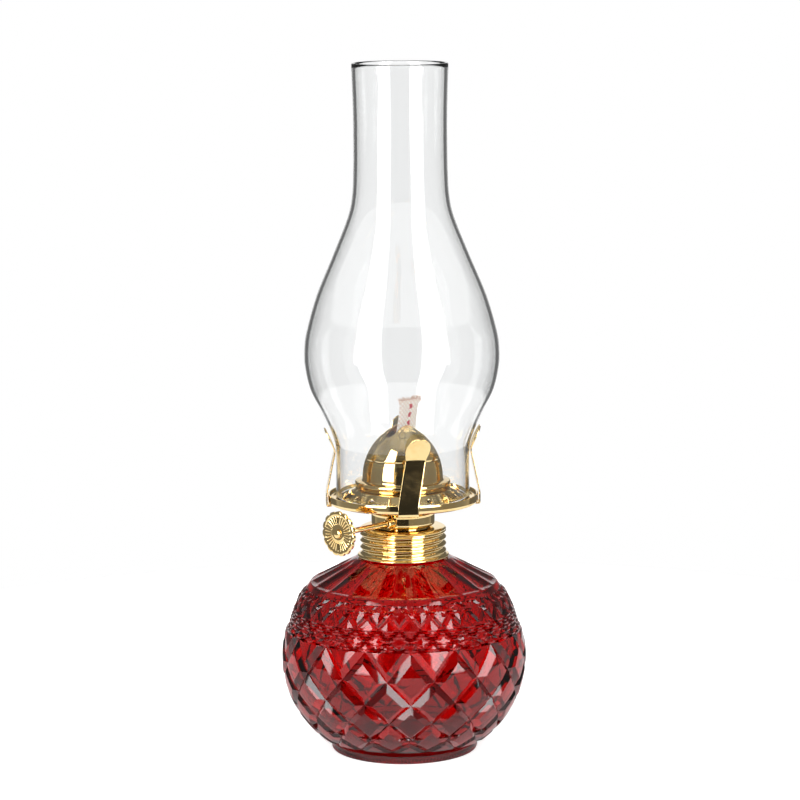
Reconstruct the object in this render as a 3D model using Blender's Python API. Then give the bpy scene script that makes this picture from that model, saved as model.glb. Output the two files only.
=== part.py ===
"""Oil lamp: a pressed-glass font, a brass flat-wick burner that screws on to its neck, and a
glass chimney held by four spring prongs. Metres, +Z up, origin at the centre of the foot."""

import math

import bmesh
import bpy
from mathutils import Matrix, Vector

MM = 0.001
TURN = 2 * math.pi

# Fits shared by every piece
GAP = 0.3 * MM
SHEET = 0.5 * MM

# Font, the glass oil reservoir
FOOT_RADIUS = 34.3 * MM
FOOT_HEIGHT = 4.6 * MM
FOOT_FACE_WIDTH = 7.0 * MM
FOOT_HOLLOW = 1.6 * MM
BELLY_RADIUS = 57.3 * MM
BELLY_HALF_HEIGHT = 51.5 * MM
BELLY_MIDDLE = 44.0 * MM
GLASS_WALL = 4.5 * MM
FLOOR_TOP = 6.5 * MM
SHOULDER_TOP = 91.0 * MM
SHOULDER_STEP = 4.1 * MM

# Pressed pattern of the font: rows of lattice crossings, from the ledge down and from the ledge up
BIG_DIAMONDS = 16
BIG_ROWS = [height * MM for height in (57.4, 43.9, 32.7, 23.0, 12.7, 7.1)]
BIG_GROOVE = 1.6 * MM
SMALL_ROWS = [height * MM for height in (57.4, 62.3, 67.7, 73.3)]
SMALL_GROOVE = 1.2 * MM
SMALL_TOP = 77.6 * MM
BAND_STEP = 2.7 * MM
KINK_STEP = 13.5 * MM
KINK_HEIGHT = 79.6 * MM
PATTERN_TURN = math.radians(3.1)

# Neck thread and the collar that screws on it
NECK_BORE = 14.6 * MM
NECK_ROOT = 17.9 * MM
NECK_HEIGHT = 12.4 * MM
THREAD_LEAD = 3.15 * MM
THREAD_DEPTH = 1.1 * MM
THREAD_CLEARANCE = 0.6 * MM
GASKET_THICKNESS = 1.2 * MM
COLLAR_FLARE = 1.3 * MM

# Burner drum and its flange
SPIGOT_RADIUS = 12.4 * MM
SPIGOT_DEPTH = 2.4 * MM
DRUM_RADIUS = 14.8 * MM
DRUM_HEIGHT = 6.9 * MM
FLANGE_RISE = 5.3 * MM
AIR_INLETS = 10
AIR_INLET_RADIUS = 2.2 * MM

# Chimney
FITTER_RADIUS = 31.2 * MM
CHIMNEY_HEIGHT = 200.8 * MM
CHIMNEY_WALL = 1.7 * MM
CHIMNEY_THROAT = 21.8 * MM
STACK_FOOT = 152.0 * MM
BULGE_RADIUS = 45.2 * MM
STACK_RADIUS = 21.7 * MM

# Gallery
RIM_MARGIN = 3.8 * MM
RIM_STAND = 1.85 * MM
LEDGE_RADIUS = 21.4 * MM
LEDGE_RISE = 4.6 * MM
AIR_HOLES = 18
AIR_HOLE_RADIUS = 1.1 * MM
FINS = 6
FIN_TURN = math.radians(-103.0)
FIN_SIZE = (4.2 * MM, 0.6 * MM, 2.6 * MM)

# Dome over the wick: a skirt that stands on the gallery and a cap fitted over it
SKIRT_RADIUS = 22.2 * MM
SKIRT_BAND = 3.3 * MM
DOME_SEAM = 13.5 * MM
DOME_HEIGHT = 30.0 * MM
DOME_FOOT_RADIUS = 18.8 * MM
SLOT_LENGTH = 19.5 * MM
SLOT_WIDTH = 5.0 * MM

# Wick, wick tube and raiser
SHAFT_TURN = math.radians(225.0)
SHAFT_RISE = 3.8 * MM
SHAFT_RADIUS = 1.25 * MM
WICK_WIDTH = 12.0 * MM
WICK_THICKNESS = 2.5 * MM
WICK_STAND = 12.2 * MM
WICK_LENGTH = 131.0 * MM
TUBE_WALL = 0.4 * MM
TUBE_PLAY = 0.5 * MM
TUBE_DEPTH = 4.0 * MM
TUBE_HEIGHT = 30.5 * MM
SPROCKET_RADIUS = 4.0 * MM
SPROCKET_TOOTH = 0.9 * MM
SPROCKET_TEETH = 12
SPROCKET_WIDTH = 1.2 * MM
SPROCKET_SPREAD = 3.0 * MM
BUSH_RADIUS = 2.2 * MM
BUSH_OUTSIDE = 2.6 * MM
BUSH_INSIDE = 2.0 * MM
KNOB_REACH = 46.0 * MM
KNOB_RADIUS = 10.35 * MM
KNOB_THICKNESS = 1.6 * MM
KNOB_SCALLOPS = 15
KNOB_SCALLOP = 0.7 * MM
RIVET_RADIUS = 2.6 * MM
RIVET_HEIGHT = 1.2 * MM

# Chimney prongs
PRONG_TURNS = [math.radians(angle) for angle in (-85.9, 4.1, 94.1, 184.1)]
PRONG_NAMES = ("prong_front", "prong_right", "prong_back", "prong_left")
PRONG_LEANS = [math.radians(angle) for angle in (10.3, 2.0, -5.4, 1.0)]
PRONG_WIDTH = 9.4 * MM
PRONG_SHEET = 0.6 * MM
PADDLE_WIDTH = 11.0 * MM
PADDLE_RISE = 10.6 * MM
PADDLE_FLARE = 4.6 * MM
HOOK_LENGTH = 2.4 * MM

# Radii of the font that follow its belly and its neck
BAND_RADIUS = BELLY_RADIUS - BAND_STEP
KINK_RADIUS = BELLY_RADIUS - KINK_STEP
SHOULDER_RADIUS = NECK_ROOT + SHOULDER_STEP

# Heights that stack up from the neck
NECK_TOP = SHOULDER_TOP + NECK_HEIGHT
PLATE_UNDER = NECK_TOP + GASKET_THICKNESS + 2 * GAP
COLLAR_TOP = PLATE_UNDER + SHEET
COLLAR_FOOT = SHOULDER_TOP + 0.9 * MM
COLLAR_CREST = NECK_ROOT + THREAD_DEPTH + THREAD_CLEARANCE
SPIGOT_BOTTOM = PLATE_UNDER - SPIGOT_DEPTH
DRUM_TOP = COLLAR_TOP + DRUM_HEIGHT
FLANGE_Z = DRUM_TOP + FLANGE_RISE
SEAT_Z = FLANGE_Z + SHEET + 1.2 * MM
HEM_Z = FLANGE_Z - GAP - SHEET
RIM_RADIUS = FITTER_RADIUS + RIM_MARGIN
RIM_TOP = SEAT_Z + RIM_STAND
LEDGE_Z = SEAT_Z + LEDGE_RISE
CHIMNEY_FOOT = SEAT_Z + GAP
DOME_FOOT = LEDGE_Z + GAP
SHAFT_Z = COLLAR_TOP + SHAFT_RISE
SHAFT_OFFSET = WICK_THICKNESS / 2 + 0.25 * MM + SPROCKET_RADIUS
WICK_TOP = DOME_FOOT + DOME_HEIGHT + WICK_STAND


def rounded(points, parts):
    """A smooth curve through the points, with this many straight parts between each two."""
    ends = [points[0], *points, points[-1]]
    curve = []
    for a, b, c, d in zip(ends, ends[1:], ends[2:], ends[3:]):
        for step in range(parts):
            t = step / parts
            curve.append(
                tuple(
                    0.5 * (2 * q + (r - p) * t + (2 * p - 5 * q + 4 * r - s) * t**2
                           + (3 * q - p - 3 * r + s) * t**3)
                    for p, q, r, s in zip(a, b, c, d)
                )
            )
    return [*curve, points[-1]]


def spin(bm, outline, segments, closed=True):
    """Turns (radius, height) points about Z. A point on the axis becomes a pole."""
    verts = [bm.verts.new((radius, 0, height)) for radius, height in outline]
    pairs = list(zip(verts, verts[1:]))
    if closed:
        pairs.append((verts[-1], verts[0]))
    edges = [bm.edges.new(pair) for pair in pairs]
    bmesh.ops.spin(
        bm, geom=verts + edges, axis=(0, 0, 1), angle=TURN, steps=segments, use_merge=True
    )
    bmesh.ops.remove_doubles(bm, verts=bm.verts, dist=0.001 * MM)


def stadium(length, width, height, points=5):
    """A loop with two straight sides and two round ends, long along X."""
    radius = width / 2
    straight = length / 2 - radius
    loop = []
    for side in (1, -1):
        for step in range(points):
            angle = math.pi * (step / (points - 1) - 0.5)
            loop.append(
                (side * (straight + radius * math.cos(angle)), side * radius * math.sin(angle), height)
            )
    return loop


def loop_edges(bm, points):
    verts = [bm.verts.new(point) for point in points]
    return [bm.edges.new((a, b)) for a, b in zip(verts, verts[1:] + verts[:1])]


def raise_faces(bm, faces, height):
    """Extrudes flat faces up into a closed solid."""
    made = bmesh.ops.extrude_face_region(bm, geom=faces)["geom"]
    verts = [item for item in made if isinstance(item, bmesh.types.BMVert)]
    bmesh.ops.translate(bm, verts=verts, vec=(0, 0, height))


def lay_on_x(bm):
    """Turns a shape made about Z so that its top points along +X."""
    bmesh.ops.rotate(bm, verts=bm.verts, matrix=Matrix.Rotation(math.pi / 2, 3, "Y"))


def add_post(bm, centre, radius, height, sides, along="Z"):
    """A closed post of this height, centred on a point."""
    turn = Matrix.Rotation(math.pi / 2, 4, "Y") if along == "X" else Matrix()
    bmesh.ops.create_cone(
        bm, cap_ends=True, segments=sides, radius1=radius, radius2=radius, depth=height,
        matrix=Matrix.Translation(centre) @ turn,
    )


def add_box(bm, centre, size, turn=0.0):
    """A box whose centre and length directions are turned about Z."""
    place = Matrix.Rotation(turn, 4, "Z") @ Matrix.Translation(centre)
    bmesh.ops.create_cube(bm, size=1, matrix=place @ Matrix.Diagonal((*size, 1)))


def paint(obj, colour, roughness, metallic, transmission=0.0):
    finish = bpy.data.materials.new(obj.name)
    finish.use_nodes = True
    shader = finish.node_tree.nodes["Principled BSDF"]
    shader.inputs["Base Color"].default_value = (*colour, 1)
    shader.inputs["Roughness"].default_value = roughness
    shader.inputs["Metallic"].default_value = metallic
    shader.inputs["Transmission Weight"].default_value = transmission
    obj.data.materials.append(finish)


def make(bm, name, parent=None, turn=0.0, smooth=35):
    """Puts the shape in the scene, with its faces pointing out."""
    bmesh.ops.recalc_face_normals(bm, faces=bm.faces)
    mesh = bpy.data.meshes.new(name)
    bm.to_mesh(mesh)
    bm.free()
    mesh.shade_smooth()
    mesh.set_sharp_from_angle(angle=math.radians(smooth))
    obj = bpy.data.objects.new(name, mesh)
    bpy.context.scene.collection.objects.link(obj)
    obj.rotation_euler.z = turn
    obj.parent = parent
    return obj


def brass(obj):
    paint(obj, (0.88, 0.62, 0.22), 0.14, 1.0)
    return obj


def cut(obj, bm, name, operation="DIFFERENCE"):
    """Takes the closed shapes in bm out of the object, or joins them on."""
    tool = make(bm, name, turn=obj.rotation_euler.z)
    tool.hide_render = True
    tool.display_type = "WIRE"
    boolean = obj.modifiers.new(name, "BOOLEAN")
    boolean.object = tool
    boolean.operation = operation
    boolean.solver = "EXACT"


def pivot(name, place, turn):
    """An empty on a joint's axis."""
    empty = bpy.data.objects.new(name, None)
    bpy.context.scene.collection.objects.link(empty)
    empty.location = place
    empty.rotation_euler.z = turn
    return empty


def fade(height, low, high, run):
    """0 at the ends of a stretch and 1 inside it."""
    return max(0.0, min(1.0, (height - low) / run, (high - height) / run))


def thread_wave(vert):
    """1 on the crest and 0 in the root of a right-hand thread."""
    angle = math.atan2(vert.co.y, vert.co.x)
    return 0.5 + 0.5 * math.cos(TURN * vert.co.z / THREAD_LEAD - angle)


def move_out(vert, step):
    """Moves a point away from the Z axis."""
    radius = math.hypot(vert.co.x, vert.co.y)
    vert.co.x *= 1 + step / radius
    vert.co.y *= 1 + step / radius


def belly(height, wall=0.0):
    """Radius of the font's belly at a height, on its outside or one wall further in."""
    part = (height - BELLY_MIDDLE) / (BELLY_HALF_HEIGHT - wall)
    return (BELLY_RADIUS - wall) * math.sqrt(max(0.0, 1 - part**2))


def split_rows(rows):
    """Adds a row half-way between each two."""
    halves = [(a + b) / 2 for a, b in zip(rows, rows[1:])]
    return sorted([*rows, *halves], reverse=True)


def make_font():
    """Glass reservoir with a diamond relief, a plain shoulder and a threaded neck."""
    columns = 4 * BIG_DIAMONDS
    big = split_rows(BIG_ROWS)
    band_top = (KINK_RADIUS + 1.1 * MM, SMALL_TOP)
    band_middle = (BAND_RADIUS - 5.0 * MM, SMALL_TOP - 5.6 * MM)
    band = rounded([(BAND_RADIUS, SMALL_ROWS[0]), band_middle, band_top], 8)

    def band_radius(height):
        near = [(a, b) for a, b in zip(band, band[1:]) if a[1] <= height <= b[1]]
        (r0, z0), (r1, z1) = near[0]
        return r0 + (r1 - r0) * (height - z0) / (z1 - z0)

    outside = [
        (0, FOOT_HOLLOW),
        (FOOT_RADIUS - FOOT_FACE_WIDTH - 2.4 * MM, FOOT_HOLLOW),
        (FOOT_RADIUS - FOOT_FACE_WIDTH - 1.1 * MM, 0),
        (FOOT_RADIUS - 1.1 * MM, 0),
        (FOOT_RADIUS, 1.1 * MM),
        (FOOT_RADIUS, FOOT_HEIGHT),
    ]
    outside += [(belly(height), height) for height in reversed(big)]
    outside += [(band_radius(SMALL_ROWS[0]) + 0.1 * MM, SMALL_ROWS[0] + 0.7 * MM)]
    outside += [(band_radius(height), height) for height in SMALL_ROWS[1:]]
    outside += [band_top, (KINK_RADIUS, KINK_HEIGHT)]
    bm = bmesh.new()
    spin(bm, outside, columns, closed=False)
    bmesh.ops.rotate(bm, verts=bm.verts, matrix=Matrix.Rotation(PATTERN_TURN - TURN / 4, 3, "Z"))
    press_lattice(bm, big, columns)

    rows = 13
    low, high = SHOULDER_TOP + 2.0 * MM, NECK_TOP - 0.5 * MM
    inner_rows = [74.0, 66.0, 56.0, 44.0, 32.0, 22.0, 14.0, 9.0]
    neck = [(SHOULDER_RADIUS, SHOULDER_TOP), (NECK_ROOT, SHOULDER_TOP + 1.0 * MM)]
    neck += [(NECK_ROOT, low + (high - low) * row / (rows - 1)) for row in range(rows)]
    neck += [(NECK_ROOT - 0.6 * MM, NECK_TOP), (NECK_BORE, NECK_TOP)]
    neck += [(NECK_BORE, SHOULDER_TOP - 1.5 * MM), (KINK_RADIUS - 5.0 * MM, KINK_HEIGHT - 3.5 * MM)]
    neck += [(belly(height * MM, GLASS_WALL), height * MM) for height in inner_rows]
    neck += [(22.0 * MM, FLOOR_TOP), (0, FLOOR_TOP)]
    upper = bmesh.new()
    spin(upper, neck, columns // 2, closed=False)
    bmesh.ops.rotate(upper, verts=upper.verts, matrix=Matrix.Rotation(PATTERN_TURN - TURN / 4, 3, "Z"))
    for vert in upper.verts:
        on_thread = low - 0.1 * MM < vert.co.z < high + 0.1 * MM
        if on_thread and math.hypot(vert.co.x, vert.co.y) > NECK_ROOT - 0.1 * MM:
            move_out(vert, THREAD_DEPTH * thread_wave(vert) * fade(vert.co.z, low, high, 1.2 * MM))
    joined = bpy.data.meshes.new("neck_and_inside")
    upper.to_mesh(joined)
    upper.free()
    bm.from_mesh(joined)
    bpy.data.meshes.remove(joined)
    bmesh.ops.bridge_loops(bm, edges=[edge for edge in bm.edges if edge.is_boundary])
    bmesh.ops.triangulate(bm, faces=[face for face in bm.faces if len(face.verts) > 3])
    paint(make(bm, "font", smooth=20), (0.55, 0.005, 0.02), 0.02, 0.0, 1.0)


def press_lattice(bm, big, columns):
    """Presses the grooves between the diamonds, and creases the faces along them."""
    grooves = []
    for vert in bm.verts:
        angle = math.atan2(vert.co.y, vert.co.x) - PATTERN_TURN + TURN / 4
        column = round(angle / TURN * columns) % columns
        for row, height in enumerate(big):
            crossing = (column - row) % 4 == 0 or (column + row) % 4 == 0
            if abs(vert.co.z - height) < 0.01 * MM and crossing:
                grooves.append((vert, BIG_GROOVE))
        for row, height in enumerate(SMALL_ROWS):
            if row and abs(vert.co.z - height) < 0.01 * MM and (column + row) % 2:
                grooves.append((vert, SMALL_GROOVE))
    bmesh.ops.connect_verts(bm, verts=[vert for vert, _ in grooves])
    for vert, depth in grooves:
        move_out(vert, -depth)


def make_gasket():
    """Cork ring between the neck's lip and the collar's top plate."""
    bottom = NECK_TOP + GAP
    top = bottom + GASKET_THICKNESS
    inner = SPIGOT_RADIUS + 1.3 * MM
    outer = NECK_ROOT - GAP
    bm = bmesh.new()
    spin(bm, [(outer, top), (outer, bottom), (inner, bottom), (inner, top)], 32)
    paint(make(bm, "neck_gasket"), (0.42, 0.27, 0.14), 0.9, 0.0)


def make_collar():
    """Rolled brass screw cap, open in the middle for the burner."""
    rows = 14
    low, high = COLLAR_FOOT + 1.2 * MM, PLATE_UNDER - 0.4 * MM
    heights = [low + (high - low) * row / (rows - 1) for row in range(rows)]
    outer = COLLAR_CREST + SHEET
    flare = outer + COLLAR_FLARE
    hole = SPIGOT_RADIUS + GAP
    outline = [(hole, COLLAR_TOP), (outer - 0.9 * MM, COLLAR_TOP), (outer, COLLAR_TOP - 0.5 * MM)]
    outline += [(outer, height) for height in reversed(heights)]
    outline += [(flare, COLLAR_FOOT + 0.7 * MM), (flare, COLLAR_FOOT), (flare - SHEET, COLLAR_FOOT)]
    outline += [(flare - SHEET, COLLAR_FOOT + 0.5 * MM)]
    outline += [(COLLAR_CREST, height) for height in heights]
    outline += [(COLLAR_CREST - 0.4 * MM, PLATE_UNDER), (hole, PLATE_UNDER)]
    bm = bmesh.new()
    spin(bm, outline, 36)
    for vert in bm.verts:
        radius = math.hypot(vert.co.x, vert.co.y)
        if low - 0.1 * MM < vert.co.z < high + 0.1 * MM and radius > COLLAR_CREST - 0.1 * MM:
            strength = fade(vert.co.z, low, high, 0.9 * MM)
            move_out(vert, -THREAD_DEPTH * (1 - thread_wave(vert)) * strength)
    brass(make(bm, "screw_collar", smooth=50))


def make_drum():
    """Drawn cup that carries the wick tube, the raiser shaft and the gallery's flange."""
    inside = DRUM_RADIUS - SHEET
    neck = SPIGOT_RADIUS - SHEET
    edge = RIM_RADIUS - 1.8 * MM
    inner_edge = FITTER_RADIUS - 1.7 * MM
    outline = [
        (0, SPIGOT_BOTTOM + SHEET),
        (neck, SPIGOT_BOTTOM + SHEET),
        (neck, COLLAR_TOP + 0.7 * MM),
        (inside, COLLAR_TOP + 1.6 * MM),
        (inside, DRUM_TOP + SHEET),
        (DRUM_RADIUS + 1.0 * MM, DRUM_TOP + 1.2 * MM),
        (inner_edge, FLANGE_Z + SHEET),
        (edge, FLANGE_Z + SHEET),
        (edge, FLANGE_Z),
        (inner_edge, FLANGE_Z),
        (DRUM_RADIUS + 1.2 * MM, DRUM_TOP + 0.6 * MM),
        (DRUM_RADIUS, DRUM_TOP - 0.1 * MM),
        (DRUM_RADIUS, COLLAR_TOP + 1.4 * MM),
        (SPIGOT_RADIUS + 0.4 * MM, COLLAR_TOP + GAP),
        (SPIGOT_RADIUS, COLLAR_TOP + GAP - 0.1 * MM),
        (SPIGOT_RADIUS, PLATE_UNDER - GAP),
        (SPIGOT_RADIUS + 0.8 * MM, PLATE_UNDER - 0.6 * MM),
        (SPIGOT_RADIUS + 0.8 * MM, PLATE_UNDER - 1.0 * MM),
        (SPIGOT_RADIUS, PLATE_UNDER - 1.4 * MM),
        (SPIGOT_RADIUS, SPIGOT_BOTTOM),
        (0, SPIGOT_BOTTOM),
    ]
    bm = bmesh.new()
    spin(bm, outline, 32, closed=False)
    drum = brass(make(bm, "burner_drum", turn=SHAFT_TURN))
    holes = bmesh.new()
    mouth = stadium(tube_size(0) + 2 * GAP, tube_size(1) + 2 * GAP, SPIGOT_BOTTOM - SHEET)
    loop_edges(holes, mouth)
    bmesh.ops.contextual_create(holes, geom=holes.edges)
    raise_faces(holes, list(holes.faces), 3 * SHEET)
    place = wall_place(DRUM_RADIUS)
    add_post(holes, (place, SHAFT_OFFSET, SHAFT_Z), BUSH_RADIUS + GAP, 8 * MM, 12, "X")
    add_post(holes, (-place, SHAFT_OFFSET, SHAFT_Z), SHAFT_RADIUS + GAP, 8 * MM, 12, "X")
    ring = (DRUM_RADIUS + inner_edge) / 2
    for step in range(AIR_INLETS):
        angle = TURN * (step + 0.5) / AIR_INLETS
        centre = (ring * math.cos(angle), ring * math.sin(angle), (DRUM_TOP + FLANGE_Z) / 2)
        add_post(holes, centre, AIR_INLET_RADIUS, 8 * MM, 8)
    cut(drum, holes, "drum_holes")


def wall_place(radius):
    """How far along the shaft its line crosses a round wall about the lamp's axis."""
    return math.sqrt(radius**2 - SHAFT_OFFSET**2)


def tube_size(side):
    """Outer width and thickness of the wick tube."""
    return (WICK_WIDTH, WICK_THICKNESS)[side] + 2 * (TUBE_PLAY + TUBE_WALL)


def make_wick_tube():
    """Flat tube that guides the wick, with two windows for the sprockets."""
    bottom = SPIGOT_BOTTOM - TUBE_DEPTH
    top = COLLAR_TOP + TUBE_HEIGHT
    bm = bmesh.new()
    edges = loop_edges(bm, stadium(tube_size(0), tube_size(1), bottom))
    inner = stadium(tube_size(0) - 2 * TUBE_WALL, tube_size(1) - 2 * TUBE_WALL, bottom)
    edges += loop_edges(bm, inner)
    bmesh.ops.bridge_loops(bm, edges=edges)
    raise_faces(bm, list(bm.faces), top - bottom)
    tube = brass(make(bm, "wick_tube", turn=SHAFT_TURN))
    wall = tube_size(1) / 2
    reach = SHAFT_OFFSET - wall
    height = 2 * (math.sqrt(SPROCKET_RADIUS**2 - reach**2) + 2 * GAP)
    windows = bmesh.new()
    for side in (1, -1):
        centre = (side * SPROCKET_SPREAD, wall, SHAFT_Z)
        add_box(windows, centre, (SPROCKET_WIDTH + 3 * GAP, 4 * TUBE_WALL, height))
    cut(tube, windows, "tube_windows")


def make_raiser():
    """Shaft, two sprockets, knob and rivet, which turn together."""
    axis = Matrix.Rotation(SHAFT_TURN, 4, "Z") @ Vector((0, SHAFT_OFFSET, SHAFT_Z))
    empty = pivot("raiser_axis", axis, SHAFT_TURN)
    bore = SHAFT_RADIUS + GAP
    inner_end = -wall_place(DRUM_RADIUS) - 0.6 * MM
    outer_end = KNOB_REACH + KNOB_THICKNESS - GAP

    bm = bmesh.new()
    add_post(bm, (0, 0, (inner_end + outer_end) / 2), SHAFT_RADIUS, outer_end - inner_end, 16)
    lay_on_x(bm)
    brass(make(bm, "wick_shaft", parent=empty))

    for name, side in (("sprocket_outer", 1), ("sprocket_inner", -1)):
        low = side * SPROCKET_SPREAD - SPROCKET_WIDTH / 2
        bm = toothed_disc(SPROCKET_RADIUS, SPROCKET_TOOTH, SPROCKET_TEETH, bore, low, SPROCKET_WIDTH)
        brass(make(bm, name, parent=empty, smooth=20))

    bm = toothed_disc(KNOB_RADIUS, KNOB_SCALLOP, KNOB_SCALLOPS, bore, KNOB_REACH, KNOB_THICKNESS)
    brass(make(bm, "knob_disc", parent=empty, smooth=20))

    face = KNOB_REACH + KNOB_THICKNESS + GAP
    outline = [(RIVET_RADIUS, face), (RIVET_RADIUS * 0.86, face + RIVET_HEIGHT * 0.6)]
    outline = [(0, face), *outline, (RIVET_RADIUS * 0.45, face + RIVET_HEIGHT), (0, face + RIVET_HEIGHT)]
    bm = bmesh.new()
    spin(bm, outline, 16, closed=False)
    lay_on_x(bm)
    brass(make(bm, "knob_rivet", parent=empty))


def toothed_disc(radius, depth, teeth, hole, low, thickness):
    """A disc along +X with a centre hole and a wavy or toothed edge."""
    bm = bmesh.new()
    high = low + thickness
    spin(bm, [(radius, high), (radius, low), (hole, low), (hole, high)], 2 * teeth)
    for vert in bm.verts:
        place = round(math.atan2(vert.co.y, vert.co.x) / TURN * 2 * teeth)
        if place % 2 and math.hypot(vert.co.x, vert.co.y) > (hole + radius) / 2:
            move_out(vert, -depth)
    lay_on_x(bm)
    return bm


def make_bush():
    """Sleeve in the drum's wall that the shaft turns in."""
    middle = wall_place(DRUM_RADIUS)
    low, high = middle - BUSH_INSIDE, middle + BUSH_OUTSIDE
    bore = SHAFT_RADIUS + GAP
    bm = bmesh.new()
    spin(bm, [(BUSH_RADIUS, high), (BUSH_RADIUS, low), (bore, low), (bore, high)], 16)
    lay_on_x(bm)
    bmesh.ops.translate(bm, verts=bm.verts, vec=(0, SHAFT_OFFSET, SHAFT_Z))
    brass(make(bm, "shaft_bush", turn=SHAFT_TURN))


def make_wick():
    """Woven cotton strap, standing above the dome and hanging in the oil."""
    bm = bmesh.new()
    loop_edges(bm, stadium(WICK_WIDTH, WICK_THICKNESS, WICK_TOP - WICK_LENGTH))
    bmesh.ops.contextual_create(bm, geom=bm.edges)
    raise_faces(bm, list(bm.faces), WICK_LENGTH)
    paint(make(bm, "flat_wick", turn=SHAFT_TURN), (0.86, 0.80, 0.68), 0.95, 0.0)


def make_gallery():
    """Dished ring with a trough for the chimney, air holes and small upright fins."""
    seat_in = FITTER_RADIUS - CHIMNEY_WALL
    sheet = 0.55 * MM
    outline = [
        (LEDGE_RADIUS - 0.9 * MM, LEDGE_Z),
        (LEDGE_RADIUS, LEDGE_Z),
        (seat_in - 0.8 * MM, SEAT_Z + 0.5 * MM),
        (seat_in, SEAT_Z),
        (RIM_RADIUS - 2.0 * MM, SEAT_Z),
        (RIM_RADIUS - 1.2 * MM, SEAT_Z + 0.6 * MM),
        (RIM_RADIUS - 1.0 * MM, RIM_TOP - 0.3 * MM),
        (RIM_RADIUS - 0.5 * MM, RIM_TOP),
        (RIM_RADIUS - 0.05 * MM, RIM_TOP - 0.35 * MM),
        (RIM_RADIUS, SEAT_Z - 0.9 * MM),
        (RIM_RADIUS - 0.4 * MM, HEM_Z + 0.5 * MM),
        (RIM_RADIUS - 1.4 * MM, HEM_Z),
        (RIM_RADIUS - 3.4 * MM, HEM_Z),
        (RIM_RADIUS - 3.4 * MM, HEM_Z + SHEET),
        (RIM_RADIUS - 1.7 * MM, HEM_Z + SHEET),
        (RIM_RADIUS - 0.9 * MM, HEM_Z + 1.2 * MM),
        (RIM_RADIUS - 0.9 * MM, SEAT_Z - sheet),
        (seat_in - 0.2 * MM, SEAT_Z - sheet),
        (seat_in - 1.1 * MM, SEAT_Z),
        (LEDGE_RADIUS - 0.2 * MM, LEDGE_Z - sheet),
        (LEDGE_RADIUS - 0.9 * MM, LEDGE_Z - sheet),
    ]
    bm = bmesh.new()
    spin(bm, outline, 36)
    gallery = brass(make(bm, "gallery"))
    slope_r = (LEDGE_RADIUS + seat_in) / 2 + 0.6 * MM
    fins = bmesh.new()
    holes = bmesh.new()
    for step in range(AIR_HOLES):
        angle = FIN_TURN + TURN * step / AIR_HOLES
        if step % (AIR_HOLES // FINS):
            centre = (slope_r * math.cos(angle), slope_r * math.sin(angle), SEAT_Z + LEDGE_RISE / 2)
            add_post(holes, centre, AIR_HOLE_RADIUS, 6 * MM, 8)
        else:
            centre = (slope_r + 0.4 * MM, 0, SEAT_Z + 2.2 * MM)
            add_box(fins, centre, FIN_SIZE, turn=angle)
    cut(gallery, fins, "gallery_fins", "UNION")
    cut(gallery, holes, "gallery_holes")


def bell(height):
    """Outer radius of the dome's bell, at a height above the dome's foot."""
    part = (height - SKIRT_BAND) / (DOME_HEIGHT - SKIRT_BAND)
    return DOME_FOOT_RADIUS * (1 - max(0.0, part) ** 2.25) ** 0.72


def make_dome():
    """Skirt with a band that stands on the gallery, and a cap with the flame slot."""
    joggle = DOME_SEAM + 1.6 * MM
    steps = 3
    wall = [SKIRT_BAND + (DOME_SEAM - GAP - SKIRT_BAND) * step / steps for step in range(1, steps + 1)]
    outer = [(SKIRT_RADIUS, 0), (SKIRT_RADIUS, SKIRT_BAND - 0.5 * MM)]
    outer += [(SKIRT_RADIUS - 0.4 * MM, SKIRT_BAND), (bell(SKIRT_BAND) + 0.5 * MM, SKIRT_BAND)]
    outer += [(bell(height), height) for height in wall]
    lap = SHEET + GAP
    outer += [(bell(DOME_SEAM) - lap, DOME_SEAM), (bell(joggle) - lap, joggle)]
    inner = [(bell(joggle) - lap - SHEET, joggle), (bell(DOME_SEAM) - lap - SHEET, DOME_SEAM - 0.2 * MM)]
    inner += [(bell(height) - lap - SHEET, height - 0.4 * MM) for height in reversed(wall[:-1])]
    inner += [(bell(SKIRT_BAND) - SHEET, SKIRT_BAND - SHEET)]
    inner += [(SKIRT_RADIUS - SHEET, SKIRT_BAND - SHEET), (SKIRT_RADIUS - SHEET, 0)]
    bm = bmesh.new()
    spin(bm, [(radius, DOME_FOOT + height) for radius, height in outer + inner], 32)
    brass(make(bm, "dome_skirt"))

    rows = 7
    span = DOME_HEIGHT - DOME_SEAM
    heights = [DOME_SEAM + span * math.sin(math.pi / 2 * row / rows) for row in range(rows + 1)]
    outline = [(bell(height), height) for height in heights]
    lower = 1 - SHEET / span
    inside = [(max(0.0, radius - SHEET), DOME_SEAM + (height - DOME_SEAM) * lower)
              for radius, height in reversed(outline[:-1])]
    shell = [*outline, (0.0, DOME_HEIGHT - SHEET), *inside]
    bm = bmesh.new()
    spin(bm, [(radius, DOME_FOOT + height) for radius, height in shell], 32)
    cap = brass(make(bm, "dome_cap", turn=SHAFT_TURN))
    slot = bmesh.new()
    loop_edges(slot, stadium(SLOT_LENGTH, SLOT_WIDTH, DOME_FOOT + DOME_SEAM + 0.2 * MM, 7))
    bmesh.ops.contextual_create(slot, geom=slot.edges)
    raise_faces(slot, list(slot.faces), DOME_HEIGHT)
    cut(cap, slot, "flame_slot")


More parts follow.
